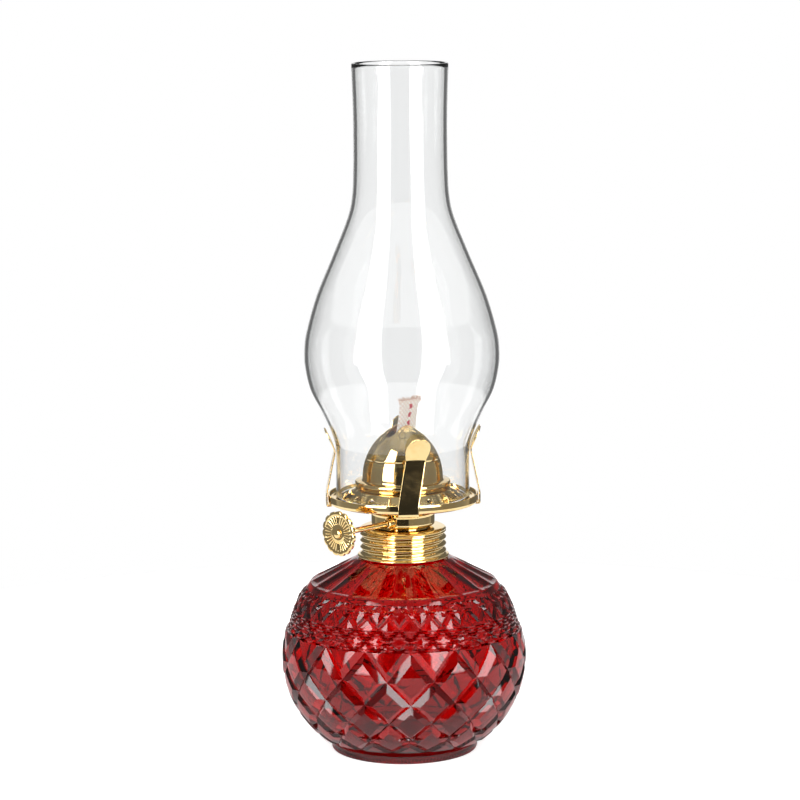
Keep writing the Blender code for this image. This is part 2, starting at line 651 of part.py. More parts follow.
def make_prongs():
    """Four spring strips, hooked under the gallery's rim, that press on the chimney."""
    rim = RIM_RADIUS + GAP + PRONG_SHEET
    touch = FITTER_RADIUS + GAP / 2 + PRONG_SHEET
    grip = CHIMNEY_FOOT + CHIMNEY_THROAT
    under = HEM_Z - GAP - PRONG_SHEET
    shank = PRONG_WIDTH / 2
    wide = PADDLE_WIDTH / 2
    stations = [
        (rim - HOOK_LENGTH, under, shank),
        (rim - 0.8 * MM, under, shank),
        (rim, under + 0.8 * MM, shank),
        (rim, RIM_TOP + 0.2 * MM, shank),
        (touch + (rim - touch) * 0.35, RIM_TOP + (grip - RIM_TOP) * 0.65, shank),
        (touch, grip - 0.8 * MM, shank * 0.98),
        (touch, grip + 0.8 * MM, shank),
        (touch + PADDLE_FLARE * 0.25, grip + PADDLE_RISE * 0.32, wide * 0.97),
        (touch + PADDLE_FLARE * 0.53, grip + PADDLE_RISE * 0.58, wide),
        (touch + PADDLE_FLARE * 0.82, grip + PADDLE_RISE * 0.84, wide * 0.78),
        (touch + PADDLE_FLARE, grip + PADDLE_RISE, wide * 0.36),
    ]
    foot = Vector((rim, 0, under))
    for name, turn, lean in zip(PRONG_NAMES, PRONG_TURNS, PRONG_LEANS):
        axis = pivot(name + "_axis", Matrix.Rotation(turn, 4, "Z") @ foot, turn)
        bm = bmesh.new()
        rows = [
            [bm.verts.new((radius - foot.x, side * width, height - foot.z)) for side in (-1, 1)]
            for radius, height, width in stations
        ]
        for (a, b), (c, d) in zip(rows, rows[1:]):
            bm.faces.new((a, b, d, c))
        bm.normal_update()
        bmesh.ops.solidify(bm, geom=list(bm.faces), thickness=PRONG_SHEET)
        for vert in bm.verts:
            raised = max(0.0, vert.co.z - (RIM_TOP - under))
            vert.co.y += raised * math.tan(lean)
        brass(make(bm, name, parent=axis, smooth=30))


def make_chimney():
    """Clear glass chimney: a straight fitter, a bulge, a taper and a tall stack."""
    wall = CHIMNEY_WALL
    profile = [
        (FITTER_RADIUS, 0.0),
        (FITTER_RADIUS - 0.2 * MM, CHIMNEY_THROAT * 0.5),
        (FITTER_RADIUS - 0.1 * MM, CHIMNEY_THROAT),
        (31.8 * MM, 27.0 * MM),
        (36.4 * MM, 38.3 * MM),
        (42.4 * MM, 50.2 * MM),
        (44.9 * MM, 60.8 * MM),
        (BULGE_RADIUS, 69.2 * MM),
        (43.9 * MM, 78.2 * MM),
        (39.2 * MM, 94.3 * MM),
        (23.9 * MM, 131.6 * MM),
        (22.3 * MM, 140.0 * MM),
        (STACK_RADIUS, STACK_FOOT),
        (STACK_RADIUS, 0.4 * STACK_FOOT + 0.6 * CHIMNEY_HEIGHT),
        (STACK_RADIUS + 0.6 * MM, CHIMNEY_HEIGHT),
    ]
    inner = [(radius - wall, height) for radius, height in reversed(profile)]
    bm = bmesh.new()
    spin(bm, [(radius, CHIMNEY_FOOT + height) for radius, height in profile + inner], 36)
    paint(make(bm, "chimney", smooth=60), (0.95, 0.97, 0.97), 0.02, 0.0, 1.0)


def main():
    for obj in list(bpy.data.objects):
        bpy.data.objects.remove(obj)
    make_font()
    make_gasket()
    make_collar()
    make_drum()
    make_wick_tube()
    make_bush()
    make_raiser()
    make_wick()
    make_gallery()
    make_dome()
    make_prongs()
    make_chimney()


main()
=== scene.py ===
# %% [markdown]
# # A pressed-glass oil lamp
# The solid model of the lamp is loaded first, as a fixed frame in metres. Every piece made here is
# placed on that frame and rides on one of its moving bodies, so the lamp can still be worked.

# %% Load the frame
import math
import random

import bmesh
import bpy
from mathutils import Matrix, Vector


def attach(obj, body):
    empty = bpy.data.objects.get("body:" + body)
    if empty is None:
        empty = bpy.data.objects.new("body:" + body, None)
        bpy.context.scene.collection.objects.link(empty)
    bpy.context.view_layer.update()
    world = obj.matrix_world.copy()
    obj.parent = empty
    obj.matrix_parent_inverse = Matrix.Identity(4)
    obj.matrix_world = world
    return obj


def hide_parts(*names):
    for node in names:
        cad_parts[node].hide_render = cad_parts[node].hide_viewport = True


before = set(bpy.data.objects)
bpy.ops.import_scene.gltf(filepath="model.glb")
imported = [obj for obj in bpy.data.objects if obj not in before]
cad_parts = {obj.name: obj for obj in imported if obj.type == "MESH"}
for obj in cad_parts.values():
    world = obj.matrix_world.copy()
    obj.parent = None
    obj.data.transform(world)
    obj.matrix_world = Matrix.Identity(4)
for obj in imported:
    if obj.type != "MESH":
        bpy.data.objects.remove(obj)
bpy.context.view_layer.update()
MM = 0.001
TURN = 2 * math.pi

# %% [markdown]
# ## The studio
# Polished brass and glass show mostly what stands around them. A product studio has a pale tent with
# two tall soft lights in front, a dark gap between them where the camera stands, and dark cards
# behind on both sides, which draw the edges of clear glass. One world shader can hold all of it: it
# reads the direction of each ray as an azimuth and a height, and looks up how bright the tent is there.

# %% Studio: a small kit for shader nodes
def fill(node, **values):
    """Sets inputs of a shader node to plain values. An underscore stands for a space."""
    for name, value in values.items():
        node.inputs[name.replace("_", " ")].default_value = value
    return node


def add_node(tree, kind, **settings):
    """Adds a shader node and fills in its settings and inputs. An input is named with in_ first."""
    node = tree.nodes.new(kind)
    for name, value in settings.items():
        if name.startswith("in_"):
            fill(node, **{name[3:]: value})
        else:
            setattr(node, name, value)
    return node


def feed(tree, sockets, values):
    """Gives each socket its value, which may be a constant or another node's socket."""
    for socket, value in zip(sockets, values):
        if isinstance(value, bpy.types.NodeSocket):
            tree.links.new(value, socket)
        else:
            socket.default_value = value


def do_math(tree, operation, first, second=0.0):
    """One Math node. An input may be a number or another node's socket."""
    node = add_node(tree, "ShaderNodeMath", operation=operation)
    feed(tree, node.inputs, (first, second))
    return node.outputs[0]


def ease(tree, value, low, high):
    """0 below low, 1 above high and smooth between. With low over high it falls instead."""
    node = add_node(tree, "ShaderNodeMapRange", interpolation_type="SMOOTHSTEP")
    ends = (1.0, 0.0) if low > high else (0.0, 1.0)
    fill(node, From_Min=min(low, high), From_Max=max(low, high), To_Min=ends[0], To_Max=ends[1])
    tree.links.new(value, node.inputs["Value"])
    return node.outputs["Result"]


def blend_values(tree, share, first, second):
    """first where share is 0 and second where it is 1."""
    node = add_node(tree, "ShaderNodeMix", data_type="FLOAT")
    feed(tree, (node.inputs[0], node.inputs[2], node.inputs[3]), (share, first, second))
    return node.outputs[0]


def blend_colours(tree, share, first, second):
    """The same for colours, each a socket or four numbers."""
    node = add_node(tree, "ShaderNodeMix", data_type="RGBA")
    feed(tree, (node.inputs[0], node.inputs[6], node.inputs[7]), (share, first, second))
    return node.outputs[2]


# %% Studio: the tent
SOFTBOX_LIGHT = 2.4
SOFTBOX_GLARE = 8.0
TENT_SIDE = 0.24
TENT_TOP = 0.42
CAMERA_GAP = 0.03
DARK_CARD = 0.15


def between(tree, value, low, high, soft):
    """1 inside a range, fading to 0 over a soft edge."""
    rise = ease(tree, value, low - soft, low + soft)
    fall = ease(tree, value, high + soft, high - soft)
    return do_math(tree, "MULTIPLY", rise, fall)


def make_tent():
    world = bpy.data.worlds.new("studio")
    bpy.context.scene.world = world
    world.use_nodes = True
    tree = world.node_tree
    tree.nodes.clear()
    direction = add_node(tree, "ShaderNodeTexCoord").outputs["Generated"]
    split = add_node(tree, "ShaderNodeSeparateXYZ")
    tree.links.new(direction, split.inputs[0])
    x, y, z = split.outputs
    front = do_math(tree, "MULTIPLY", y, -1.0)
    azimuth = do_math(tree, "ABSOLUTE", do_math(tree, "ARCTAN2", x, front))
    height = do_math(tree, "ARCSINE", z)
    degree = math.radians(1)
    light = blend_values(tree, ease(tree, azimuth, 100 * degree, 172 * degree), TENT_SIDE, 1.0)
    card = between(tree, azimuth, 122 * degree, 166 * degree, 4 * degree)
    light = blend_values(tree, card, light, DARK_CARD)
    gap = ease(tree, azimuth, 24 * degree, 18 * degree)
    light = blend_values(tree, gap, light, CAMERA_GAP)
    light = blend_values(tree, ease(tree, height, 48 * degree, 66 * degree), light, TENT_TOP)
    box = do_math(
        tree, "MULTIPLY",
        between(tree, azimuth, 26 * degree, 58 * degree, 1.5 * degree),
        between(tree, height, -5 * degree, 52 * degree, 2 * degree),
    )
    path = add_node(tree, "ShaderNodeLightPath")
    glare = blend_values(tree, path.outputs["Is Diffuse Ray"], SOFTBOX_GLARE, SOFTBOX_LIGHT)
    light = blend_values(tree, box, light, glare)
    passed = do_math(tree, "GREATER_THAN", path.outputs["Transmission Depth"], 3.5)
    straight = do_math(tree, "LESS_THAN", path.outputs["Glossy Depth"], 0.5)
    through = do_math(tree, "MULTIPLY", passed, straight)
    plain = do_math(tree, "MAXIMUM", path.outputs["Is Camera Ray"], through)
    light = blend_values(tree, plain, light, 1.0)
    background = add_node(tree, "ShaderNodeBackground", in_Color=(1, 1, 1, 1))
    tree.links.new(light, background.inputs["Strength"])
    output = add_node(tree, "ShaderNodeOutputWorld")
    tree.links.new(background.outputs[0], output.inputs[0])
    print("tent with", len(tree.nodes), "nodes")


make_tent()
bpy.context.scene.view_settings.view_transform = "Standard"

# %% [markdown]
# The floor is a disc of pale paper. It glows a little more for the camera than for the lamp, so the
# lamp stands on white without a bright floor in its brass. The camera stands far back with a long lens,
# a little above the lamp and looking slightly down on it.

# %% Studio: floor and camera
FLOOR_RADIUS = 0.42
FLOOR_GLOW = 0.12
FLOOR_WHITENING = 0.47


def make_floor():
    bm = bmesh.new()
    bmesh.ops.create_circle(bm, cap_ends=True, segments=96, radius=FLOOR_RADIUS)
    mesh = bpy.data.meshes.new("floor")
    bm.to_mesh(mesh)
    bm.free()
    floor = bpy.data.objects.new("floor", mesh)
    bpy.context.scene.collection.objects.link(floor)
    paper = bpy.data.materials.new("pale_paper")
    paper.use_nodes = True
    shader = paper.node_tree.nodes["Principled BSDF"]
    fill(
        shader, Base_Color=(0.93, 0.93, 0.93, 1), Roughness=0.9, Specular_IOR_Level=0.1,
        Emission_Color=(1, 1, 1, 1)
    )
    seen = add_node(paper.node_tree, "ShaderNodeLightPath").outputs["Is Camera Ray"]
    glow = do_math(paper.node_tree, "MULTIPLY_ADD", seen, FLOOR_WHITENING)
    glow.node.inputs[2].default_value = FLOOR_GLOW
    paper.node_tree.links.new(glow, shader.inputs["Emission Strength"])
    mesh.materials.append(paper)


make_floor()

CAMERA_PLACE = Vector((-1.0 * MM, -1440 * MM, 392 * MM))
CAMERA_AIM = Vector((-1.0 * MM, 0, 165 * MM))
CAMERA_ROLL = math.radians(-0.42)
camera = bpy.data.objects.new("camera", bpy.data.cameras.new("camera"))
bpy.context.scene.collection.objects.link(camera)
camera.data.lens = 141.5
camera.data.sensor_width = 36.0
facing = (CAMERA_AIM - CAMERA_PLACE).to_track_quat("-Z", "Y").to_matrix()
turned_camera = facing @ Matrix.Rotation(CAMERA_ROLL, 3, "Z")
camera.matrix_world = Matrix.Translation(CAMERA_PLACE) @ turned_camera.to_4x4()
bpy.context.scene.camera = camera
view = CAMERA_AIM - CAMERA_PLACE
print("camera looks down", round(math.degrees(math.atan2(-view.z, view.y)), 1), "degrees")

# %% [markdown]
# ## Finishes
# Each finish is a Principled BSDF with node detail on it. Two effects are used by several finishes, so
# each is a node group: ripple, the faint waviness of pressed and blown glass, and polish, the cloudy
# changes of gloss and the hairlines that a cloth leaves on bright metal.

# %% Finishes: shared node groups
def new_group(name, inputs, outputs):
    """A shader node group with float inputs and named outputs."""
    group = bpy.data.node_groups.new(name, "ShaderNodeTree")
    for label, value in inputs:
        socket = group.interface.new_socket(label, in_out="INPUT", socket_type="NodeSocketFloat")
        socket.default_value = value
    for label in outputs:
        group.interface.new_socket(label, in_out="OUTPUT", socket_type="NodeSocketFloat")
    return group, group.nodes.new("NodeGroupInput"), group.nodes.new("NodeGroupOutput")


def make_ripple():
    """Height of a slow wave with a finer one on it."""
    group, given, result = new_group("ripple", [("Scale", 60.0), ("Fine", 0.3)], ["Height"])
    place = add_node(group, "ShaderNodeTexCoord").outputs["Object"]
    slow = add_node(group, "ShaderNodeTexNoise", in_Detail=2.0)
    fine = add_node(group, "ShaderNodeTexNoise", in_Detail=1.0)
    for noise in (slow, fine):
        group.links.new(place, noise.inputs["Vector"])
    group.links.new(given.outputs["Scale"], slow.inputs["Scale"])
    group.links.new(do_math(group, "MULTIPLY", given.outputs["Scale"], 5.0), fine.inputs["Scale"])
    part = do_math(group, "MULTIPLY", fine.outputs[0], given.outputs["Fine"])
    group.links.new(do_math(group, "ADD", slow.outputs[0], part), result.inputs["Height"])
    return group


def make_polish(name, stretch):
    """Cloudy gloss from low to high, and hairlines drawn out along the small parts of stretch."""
    inputs = [("Low", 0.04), ("High", 0.14), ("Cloud size", 90.0), ("Line size", 2600.0)]
    group, given, result = new_group(name, inputs, ["Roughness", "Height", "Cloud"])
    place = add_node(group, "ShaderNodeTexCoord").outputs["Object"]
    cloud = add_node(group, "ShaderNodeTexNoise", in_Detail=4.0, in_Roughness=0.6)
    group.links.new(place, cloud.inputs["Vector"])
    group.links.new(given.outputs["Cloud size"], cloud.inputs["Scale"])
    even = ease(group, cloud.outputs[0], 0.35, 0.7)
    group.links.new(even, result.inputs["Cloud"])
    gloss = blend_values(group, even, given.outputs["Low"], given.outputs["High"])
    group.links.new(gloss, result.inputs["Roughness"])
    flat = add_node(group, "ShaderNodeMapping", vector_type="POINT", in_Scale=stretch)
    group.links.new(place, flat.inputs["Vector"])
    lines = add_node(group, "ShaderNodeTexNoise", in_Detail=3.0)
    group.links.new(flat.outputs[0], lines.inputs["Vector"])
    group.links.new(given.outputs["Line size"], lines.inputs["Scale"])
    group.links.new(lines.outputs[0], result.inputs["Height"])
    return group


ripple = make_ripple()
turned_polish = make_polish("turned_polish", (0.02, 0.02, 1.0))
drawn_polish = make_polish("drawn_polish", (1.0, 1.0, 0.02))

# %% Finishes: a new material with a bump from a group
def new_finish(name):
    finish = bpy.data.materials.new(name)
    finish.use_nodes = True
    return finish, finish.node_tree, finish.node_tree.nodes["Principled BSDF"]


def place_group(tree, group, **values):
    node = tree.nodes.new("ShaderNodeGroup")
    node.node_tree = group
    return fill(node, **values)


def bump_with(tree, height, strength, distance):
    node = add_node(tree, "ShaderNodeBump", in_Strength=strength, in_Distance=distance)
    tree.links.new(height, node.inputs["Height"])
    tree.links.new(node.outputs[0], tree.nodes["Principled BSDF"].inputs["Normal"])


# %% [markdown]
# Bright brass plate is a metal with a warm base colour. Real plate is a little redder and duller in
# its cloudy patches, so the same cloud drives both colour and gloss.

# %% Finishes: brass
def make_brass(name, polish, pale, deep, low, high, scratch):
    finish, tree, shader = new_finish(name)
    marks = place_group(tree, polish, Low=low, High=high)
    tint = blend_colours(tree, marks.outputs["Cloud"], (*pale, 1), (*deep, 1))
    tree.links.new(tint, shader.inputs["Base Color"])
    tree.links.new(marks.outputs["Roughness"], shader.inputs["Roughness"])
    fill(shader, Metallic=1.0)
    bump_with(tree, marks.outputs["Height"], scratch, 0.02 * MM)
    return finish


GOLD = ((0.93, 0.72, 0.36), (0.88, 0.62, 0.26))
OLD_GOLD = ((0.72, 0.50, 0.24), (0.55, 0.34, 0.14))
bright_brass = make_brass("bright_brass", turned_polish, *GOLD, 0.03, 0.09, 0.04)
spring_brass = make_brass("spring_brass", drawn_polish, *GOLD, 0.06, 0.2, 1.0)
inside_brass = make_brass("inside_brass", turned_polish, *OLD_GOLD, 0.2, 0.4, 0.04)

# %% [markdown]
# The font's red comes from the glass itself, so it deepens with thickness: a Volume Absorption takes
# out green and blue at once and red slowly. The shader's own colour warms it and also carries painted
# shade: it runs deeper towards the foot, so the lower font is painted darker. The chimney is
# almost clear, and both glasses get the ripple group as a bump, stronger on the pressed one.

# %% Finishes: glass
def painted_shade_by_height(tree, low, high, deep, pale):
    """Painted shade: a colour that runs from deep at one height to pale at another, both in metres."""
    place = add_node(tree, "ShaderNodeTexCoord").outputs["Object"]
    split = add_node(tree, "ShaderNodeSeparateXYZ")
    tree.links.new(place, split.inputs[0])
    tint = blend_colours(tree, ease(tree, split.outputs[2], low, high), (*deep, 1), (*pale, 1))
    tree.links.new(tint, tree.nodes["Principled BSDF"].inputs["Base Color"])


def make_glass(name, tint, ripple_size, fine, strength, absorb=None, density=0.0):
    finish, tree, shader = new_finish(name)
    fill(shader, Base_Color=(*tint, 1), Roughness=0.0, IOR=1.5, Transmission_Weight=1.0)
    wave = place_group(tree, ripple, Scale=ripple_size, Fine=fine)
    bump_with(tree, wave.outputs["Height"], strength, 0.4 * MM)
    if absorb:
        body = add_node(tree, "ShaderNodeVolumeAbsorption", in_Color=(*absorb, 1), in_Density=density)
        tree.links.new(body.outputs[0], tree.nodes["Material Output"].inputs["Volume"])
    return finish


RUBY = (0.84, 0.03, 0.05)
ruby_glass = make_glass("ruby_glass", RUBY, 90.0, 0.25, 0.1, (0.92, 0.02, 0.05), 480.0)
# Painted shade: the ruby's own colour runs from a deeper red at 8 mm to plain ruby at 70 mm, so the lower
# font is painted darker.
painted_shade_by_height(ruby_glass.node_tree, 8 * MM, 70 * MM, (0.56, 0.02, 0.04), RUBY)
clear_glass = make_glass("clear_glass", (0.985, 0.99, 0.99), 25.0, 0.05, 0.03)

# %% Finishes: cork
def make_cork():
    finish, tree, shader = new_finish("cork")
    place = add_node(tree, "ShaderNodeTexCoord").outputs["Object"]
    grain = add_node(tree, "ShaderNodeTexVoronoi", in_Scale=900.0)
    tree.links.new(place, grain.inputs["Vector"])
    ramp = add_node(tree, "ShaderNodeValToRGB")
    ramp.color_ramp.elements[0].color = (0.16, 0.08, 0.03, 1)
    ramp.color_ramp.elements[1].color = (0.50, 0.33, 0.17, 1)
    tree.links.new(grain.outputs["Distance"], ramp.inputs[0])
    tree.links.new(ramp.outputs[0], shader.inputs["Base Color"])
    fill(shader, Roughness=0.9)
    bump_with(tree, grain.outputs["Distance"], 0.5, 0.2 * MM)
    return finish


cork = make_cork()
print("finishes:", ", ".join(material.name for material in bpy.data.materials if material.use_nodes))

# %% [markdown]
# ## Making a piece
# Every piece is built as a bmesh about the lamp's own axis, in its final place. The helper below puts
# it in the scene, gives it its finish, puts it on the body it rides on and hides the solid it stands for.

# %% Making a piece
def add_piece(name, bm, material, body, node=None, sharp=40, wall=0.0):
    """Puts a shape in the scene. wall thickens an open sheet inwards."""
    mesh = bpy.data.meshes.new(name)
    bm.to_mesh(mesh)
    bm.free()
    mesh.shade_smooth()
    mesh.set_sharp_from_angle(angle=math.radians(sharp))
    mesh.materials.append(material)
    piece = bpy.data.objects.new(name, mesh)
    bpy.context.scene.collection.objects.link(piece)
    if wall:
        sheet = piece.modifiers.new("sheet", "SOLIDIFY")
        sheet.thickness = wall
        sheet.offset = -1.0
    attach(piece, body)
    if node:
        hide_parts(*([node] if isinstance(node, str) else node))
    print(name, "has", sum(len(face.vertices) - 2 for face in mesh.polygons), "triangles")
    return piece


def turned(outline, segments, closed=False):
    """A bmesh of the (radius, height) outline turned once about Z, facing outwards."""
    bm = bmesh.new()
    verts = [bm.verts.new((radius, 0, height)) for radius, height in outline]
    ends = zip(verts, verts[1:] + verts[:1]) if closed else zip(verts, verts[1:])
    edges = [bm.edges.new(pair) for pair in ends]
    bmesh.ops.spin(
        bm, geom=verts + edges, axis=(0, 0, 1), angle=TURN, steps=segments, use_merge=True
    )
    bmesh.ops.remove_doubles(bm, verts=bm.verts, dist=0.001 * MM)
    bmesh.ops.recalc_face_normals(bm, faces=bm.faces)
    return bm


def curve_through(points, parts):
    """A smooth curve through the points, with this many parts between each two."""
    ends = [Vector(points[0]), *map(Vector, points), Vector(points[-1])]
    curve = []
    for a, b, c, d in zip(ends, ends[1:], ends[2:], ends[3:]):
        for step in range(parts):
            t = step / parts
            curve.append(0.5 * (2 * b + (c - a) * t + (2 * a - 5 * b + 4 * c - d) * t**2
                                + (3 * b - a - 3 * c + d) * t**3))
    return [tuple(point) for point in [*curve, ends[-1]]]


def in_mm(points, rise=0.0):
    """Points given in millimetres, on top of a height in metres."""
    return [(radius * MM, height * MM + rise) for radius, height in points]


def radius_of(vert):
    return math.hypot(vert.co.x, vert.co.y)


def angle_of(vert):
    return math.atan2(vert.co.y, vert.co.x)


def push_out(vert, step):
    """Moves a point away from the Z axis, or towards it when step is negative."""
    scale = 1 + step / radius_of(vert)
    vert.co.x *= scale
    vert.co.y *= scale


# %% [markdown]
# ## Font
# The reservoir is pressed glass. Its belly carries 16 large diamonds round and the band above a ledge
# carries 32 small ones, each framed by V grooves. The belly is spun with enough columns that every
# groove runs exactly through corners of the mesh: a move of one column is a move of one row, so a
# groove is a straight diagonal of quads, and splitting those quads makes it crisp. The small diamonds
# are also slightly domed, and the foot's lower edge is pressed in at every other pair of columns.

# %% Font: sizes
BELLY_RADIUS = 57.24 * MM
BELLY_HALF_HEIGHT = 51.5 * MM
BELLY_MIDDLE = 44.0 * MM
BIG_ROWS = [height * MM for height in (7.1, 12.7, 23.0, 32.7, 43.9, 57.4)]
SMALL_ROWS = [height * MM for height in (57.4, 62.3, 67.7, 73.3, 78.6)]
FINE = 8
COLUMNS = 64 * FINE
BIG_GROOVE = 1.9 * MM
SMALL_GROOVE = 0.9 * MM
BIG_BEVEL = 6
SMALL_BEVEL = 3
PILLOW = 0.4 * MM
PATTERN_TURN = math.radians(3.1) - TURN / 4
GLASS_WALL = 4.5 * MM
FOOT_BEAD = 0.35 * MM
KINK = (43.5 * MM, 79.7 * MM)


def belly(height, wall=0.0):
    """Radius of the belly at a height, on its outside or one wall further in."""
    part = (height - BELLY_MIDDLE) / (BELLY_HALF_HEIGHT - wall)
    return (BELLY_RADIUS - wall) * math.sqrt(max(0.0, 1 - part**2))


def divided(rows, parts):
    """Splits each gap between rows into equal parts."""
    steps = [a + (b - a) * part / parts for a, b in zip(rows, rows[1:]) for part in range(parts)]
    return [*steps, rows[-1]]


# %% Font: how deep the pattern is at a corner of the mesh
def line_distance(place, pitch, start=0):
    """Distance to the nearest of a family of evenly spaced lines."""
    offset = (place - start) % pitch
    return min(offset, pitch - offset)


def press(vert, column, row, pitch, start, depth):
    """Notes how deep this corner is pressed, and whether a crease runs through it."""
    near = min(
        line_distance(column + row, pitch, start), line_distance(column - row, pitch, start)
    )
    bevel = BIG_BEVEL if pitch == 4 * FINE else SMALL_BEVEL
    pillow = PILLOW * (1 - (2 * near / pitch) ** 2) if pitch == 2 * FINE else 0.0
    return vert, depth * max(0.0, 1 - near / bevel) + pillow, near in (0, bevel)


# %% Font: the belly and the band
def make_belly_and_band():
    belly_rows = divided(BIG_ROWS, 2 * FINE)
    band_rows = [height for height in divided(SMALL_ROWS, FINE) if height < 77.7 * MM]
    band_curve = curve_through(in_mm([(54.7, 57.4), (49.7, 72.0), (44.9, 77.6)]), 12)

    def band(height):
        for (r0, z0), (r1, z1) in zip(band_curve, band_curve[1:]):
            if height <= z1:
                return r0 + (r1 - r0) * (height - z0) / (z1 - z0)
        return band_curve[-1][0]

    outline = in_mm([(0, 1.6), (24.9, 1.6), (25.6, 0.9), (26.2, 0), (33.0, 0), (33.8, 0.3)])
    outline += in_mm([(34.2, 1.0), (34.3, 2.4), (34.2, 3.8), (33.6, 4.6), (33.1, 5.2), (33.6, 6.1)])
    outline += [(belly(height), height) for height in belly_rows]
    outline += in_mm([(55.1, 57.7)])
    outline += [(band(height), height) for height in band_rows[1:]]
    outline += in_mm([(44.4, 78.5), (43.9, 79.2)]) + [KINK]
    bm = turned(outline, COLUMNS)
    bmesh.ops.rotate(bm, verts=bm.verts, matrix=Matrix.Rotation(PATTERN_TURN, 3, "Z"))
    belly_of = {round(height / MM, 2): row for row, height in enumerate(reversed(belly_rows))}
    band_of = {round(height / MM, 2): row for row, height in enumerate(band_rows) if row}
    pressed = []
    for vert in bm.verts:
        height = round(vert.co.z / MM, 2)
        column = round((angle_of(vert) - PATTERN_TURN) / TURN * COLUMNS) % COLUMNS
        if height in belly_of:
            pressed.append(press(vert, column, belly_of[height], 4 * FINE, 0, BIG_GROOVE))
        elif height in band_of:
            pressed.append(press(vert, column, band_of[height], 2 * FINE, FINE, SMALL_GROOVE))
        elif height == 57.7:
            pressed.append((*press(vert, column, 0, 4 * FINE, 0, 0.5 * BIG_GROOVE)[:2], False))
    bmesh.ops.connect_verts(bm, verts=[vert for vert, depth, creased in pressed if creased])
    for vert, depth, creased in pressed:
        if depth:
            push_out(vert, -depth)
    for vert in bm.verts:
        column = round((angle_of(vert) - PATTERN_TURN) / TURN * COLUMNS)
        if vert.co.z < 1.2 * MM and radius_of(vert) > 33.5 * MM and column % 4 < 2:
            push_out(vert, -FOOT_BEAD)
    return bm


# %% [markdown]
# The shoulder is a plain cone with 20 shallow flutes that end in round tips under the neck. The neck
# carries a moulded right-hand thread, the wave of the same helix that the collar's ridges follow. Both
# are spun with their own number of columns, because only the diamonds need so many, and the open rims
# are bridged, which works between loops of unequal count.

# %% Font: the shoulder and the neck
FLUTES = 20
FLUTE_TURN = math.radians(1.6) - TURN / 4
FLUTE_DEPTH = 0.9 * MM
FLUTE_TIP = 0.62
NECK_ROOT = 17.9 * MM
NECK_BORE = 14.6 * MM
NECK_TOP = 103.4 * MM
SHOULDER_TOP = (22.0 * MM, 91.0 * MM)
THREAD_LEAD = 3.15 * MM
THREAD_DEPTH = 1.1 * MM


def make_shoulder():
    start, end = (43.3 * MM, 79.85 * MM), (22.4 * MM, 90.8 * MM)
    steps = 24
    outline = [
        (start[0] + (end[0] - start[0]) * step / steps, start[1] + (end[1] - start[1]) * step / steps)
        for step in range(steps + 1)
    ]
    bm = turned(outline, FLUTES * 20)
    bmesh.ops.rotate(bm, verts=bm.verts, matrix=Matrix.Rotation(FLUTE_TURN, 3, "Z"))
    for vert in bm.verts:
        along = (start[0] - radius_of(vert)) / (start[0] - end[0])
        across = line_distance((angle_of(vert) - FLUTE_TURN) / TURN * FLUTES, 1.0) * 2
        tip = max(0.0, (along - FLUTE_TIP) / (0.94 - FLUTE_TIP))
        depth = FLUTE_DEPTH * max(0.0, 1 - (1 - across) ** 2 - tip**2) * min(1.0, along / 0.06)
        push_out(vert, -0.47 * depth)
        vert.co.z -= 0.88 * depth
    return bm


def thread_wave(vert):
    """1 on the crest and 0 in the root of the right-hand thread."""
    return 0.5 + 0.5 * math.cos(TURN * vert.co.z / THREAD_LEAD - angle_of(vert))


def fade(height, low, high, run):
    """0 at the ends of a stretch and 1 inside it."""
    return max(0.0, min(1.0, (height - low) / run, (high - height) / run))


def make_neck_and_inside():
    low, high = 93.0 * MM, NECK_TOP - 0.5 * MM
    rows = 42
    outline = [SHOULDER_TOP, *in_mm([(20.6, 91.15), (19.0, 91.5), (18.2, 92.0)])]
    outline += [(NECK_ROOT, low + (high - low) * row / rows) for row in range(rows + 1)]
    outline += [(NECK_ROOT - 0.3 * MM, NECK_TOP - 0.1 * MM), (NECK_ROOT - 0.8 * MM, NECK_TOP)]
    outline += [(NECK_BORE + 0.5 * MM, NECK_TOP), (NECK_BORE, NECK_TOP - 0.5 * MM)]
    outline += in_mm([(14.6, 95.0), (14.9, 91.5), (16.5, 89.3), (20.5, 87.0), (30.0, 81.6), (37.5, 77.2)])
    inside = [75.0, 72.0, 68.0, 63.0, 57.0, 50.0, 43.0, 36.0, 29.0, 23.0, 18.0, 14.0, 11.0, 9.0]
    outline += [(belly(height * MM, GLASS_WALL), height * MM) for height in inside]
    outline += in_mm([(26.5, 7.6), (22.0, 6.7), (12.0, 6.5), (0, 6.5)])
    bm = turned(outline, 128)
    for vert in bm.verts:
        if low <= vert.co.z <= high and radius_of(vert) > NECK_ROOT - 0.1 * MM:
            push_out(vert, THREAD_DEPTH * thread_wave(vert) * fade(vert.co.z, low, high, 1.2 * MM))
    return bm


# %% Font: one closed body of glass
def take_in(bm, other):
    """Adds another bmesh to this one."""
    held = bpy.data.meshes.new("held")
    other.to_mesh(held)
    other.free()
    bm.from_mesh(held)
    bpy.data.meshes.remove(held)


def rim_edges(bm, low, high):
    """The open edges between two heights."""
    return [edge for edge in bm.edges if edge.is_boundary and low <= edge.verts[0].co.z <= high]


glass = make_belly_and_band()
take_in(glass, make_shoulder())
bmesh.ops.bridge_loops(glass, edges=rim_edges(glass, 79 * MM, 80.5 * MM))
take_in(glass, make_neck_and_inside())
bmesh.ops.bridge_loops(glass, edges=rim_edges(glass, 90 * MM, 92 * MM))
bmesh.ops.recalc_face_normals(glass, faces=glass.faces)
print("open edges left in the glass:", sum(edge.is_boundary for edge in glass.edges))
add_piece("glass_font", glass, ruby_glass, "font", "font", sharp=17)

# %% [markdown]
# ## Chimney
# A blown tube of clear glass: a straight fitter that stands in the gallery, a bulge round the flame, a
# long taper and a stack. Its rims are fire-polished, so they are round. A curve through a few measured
# points gives the outline, and the inside is the same curve one wall further in.

# %% Chimney
CHIMNEY_FOOT = 119.9 * MM
CHIMNEY_WALL = 1.7 * MM


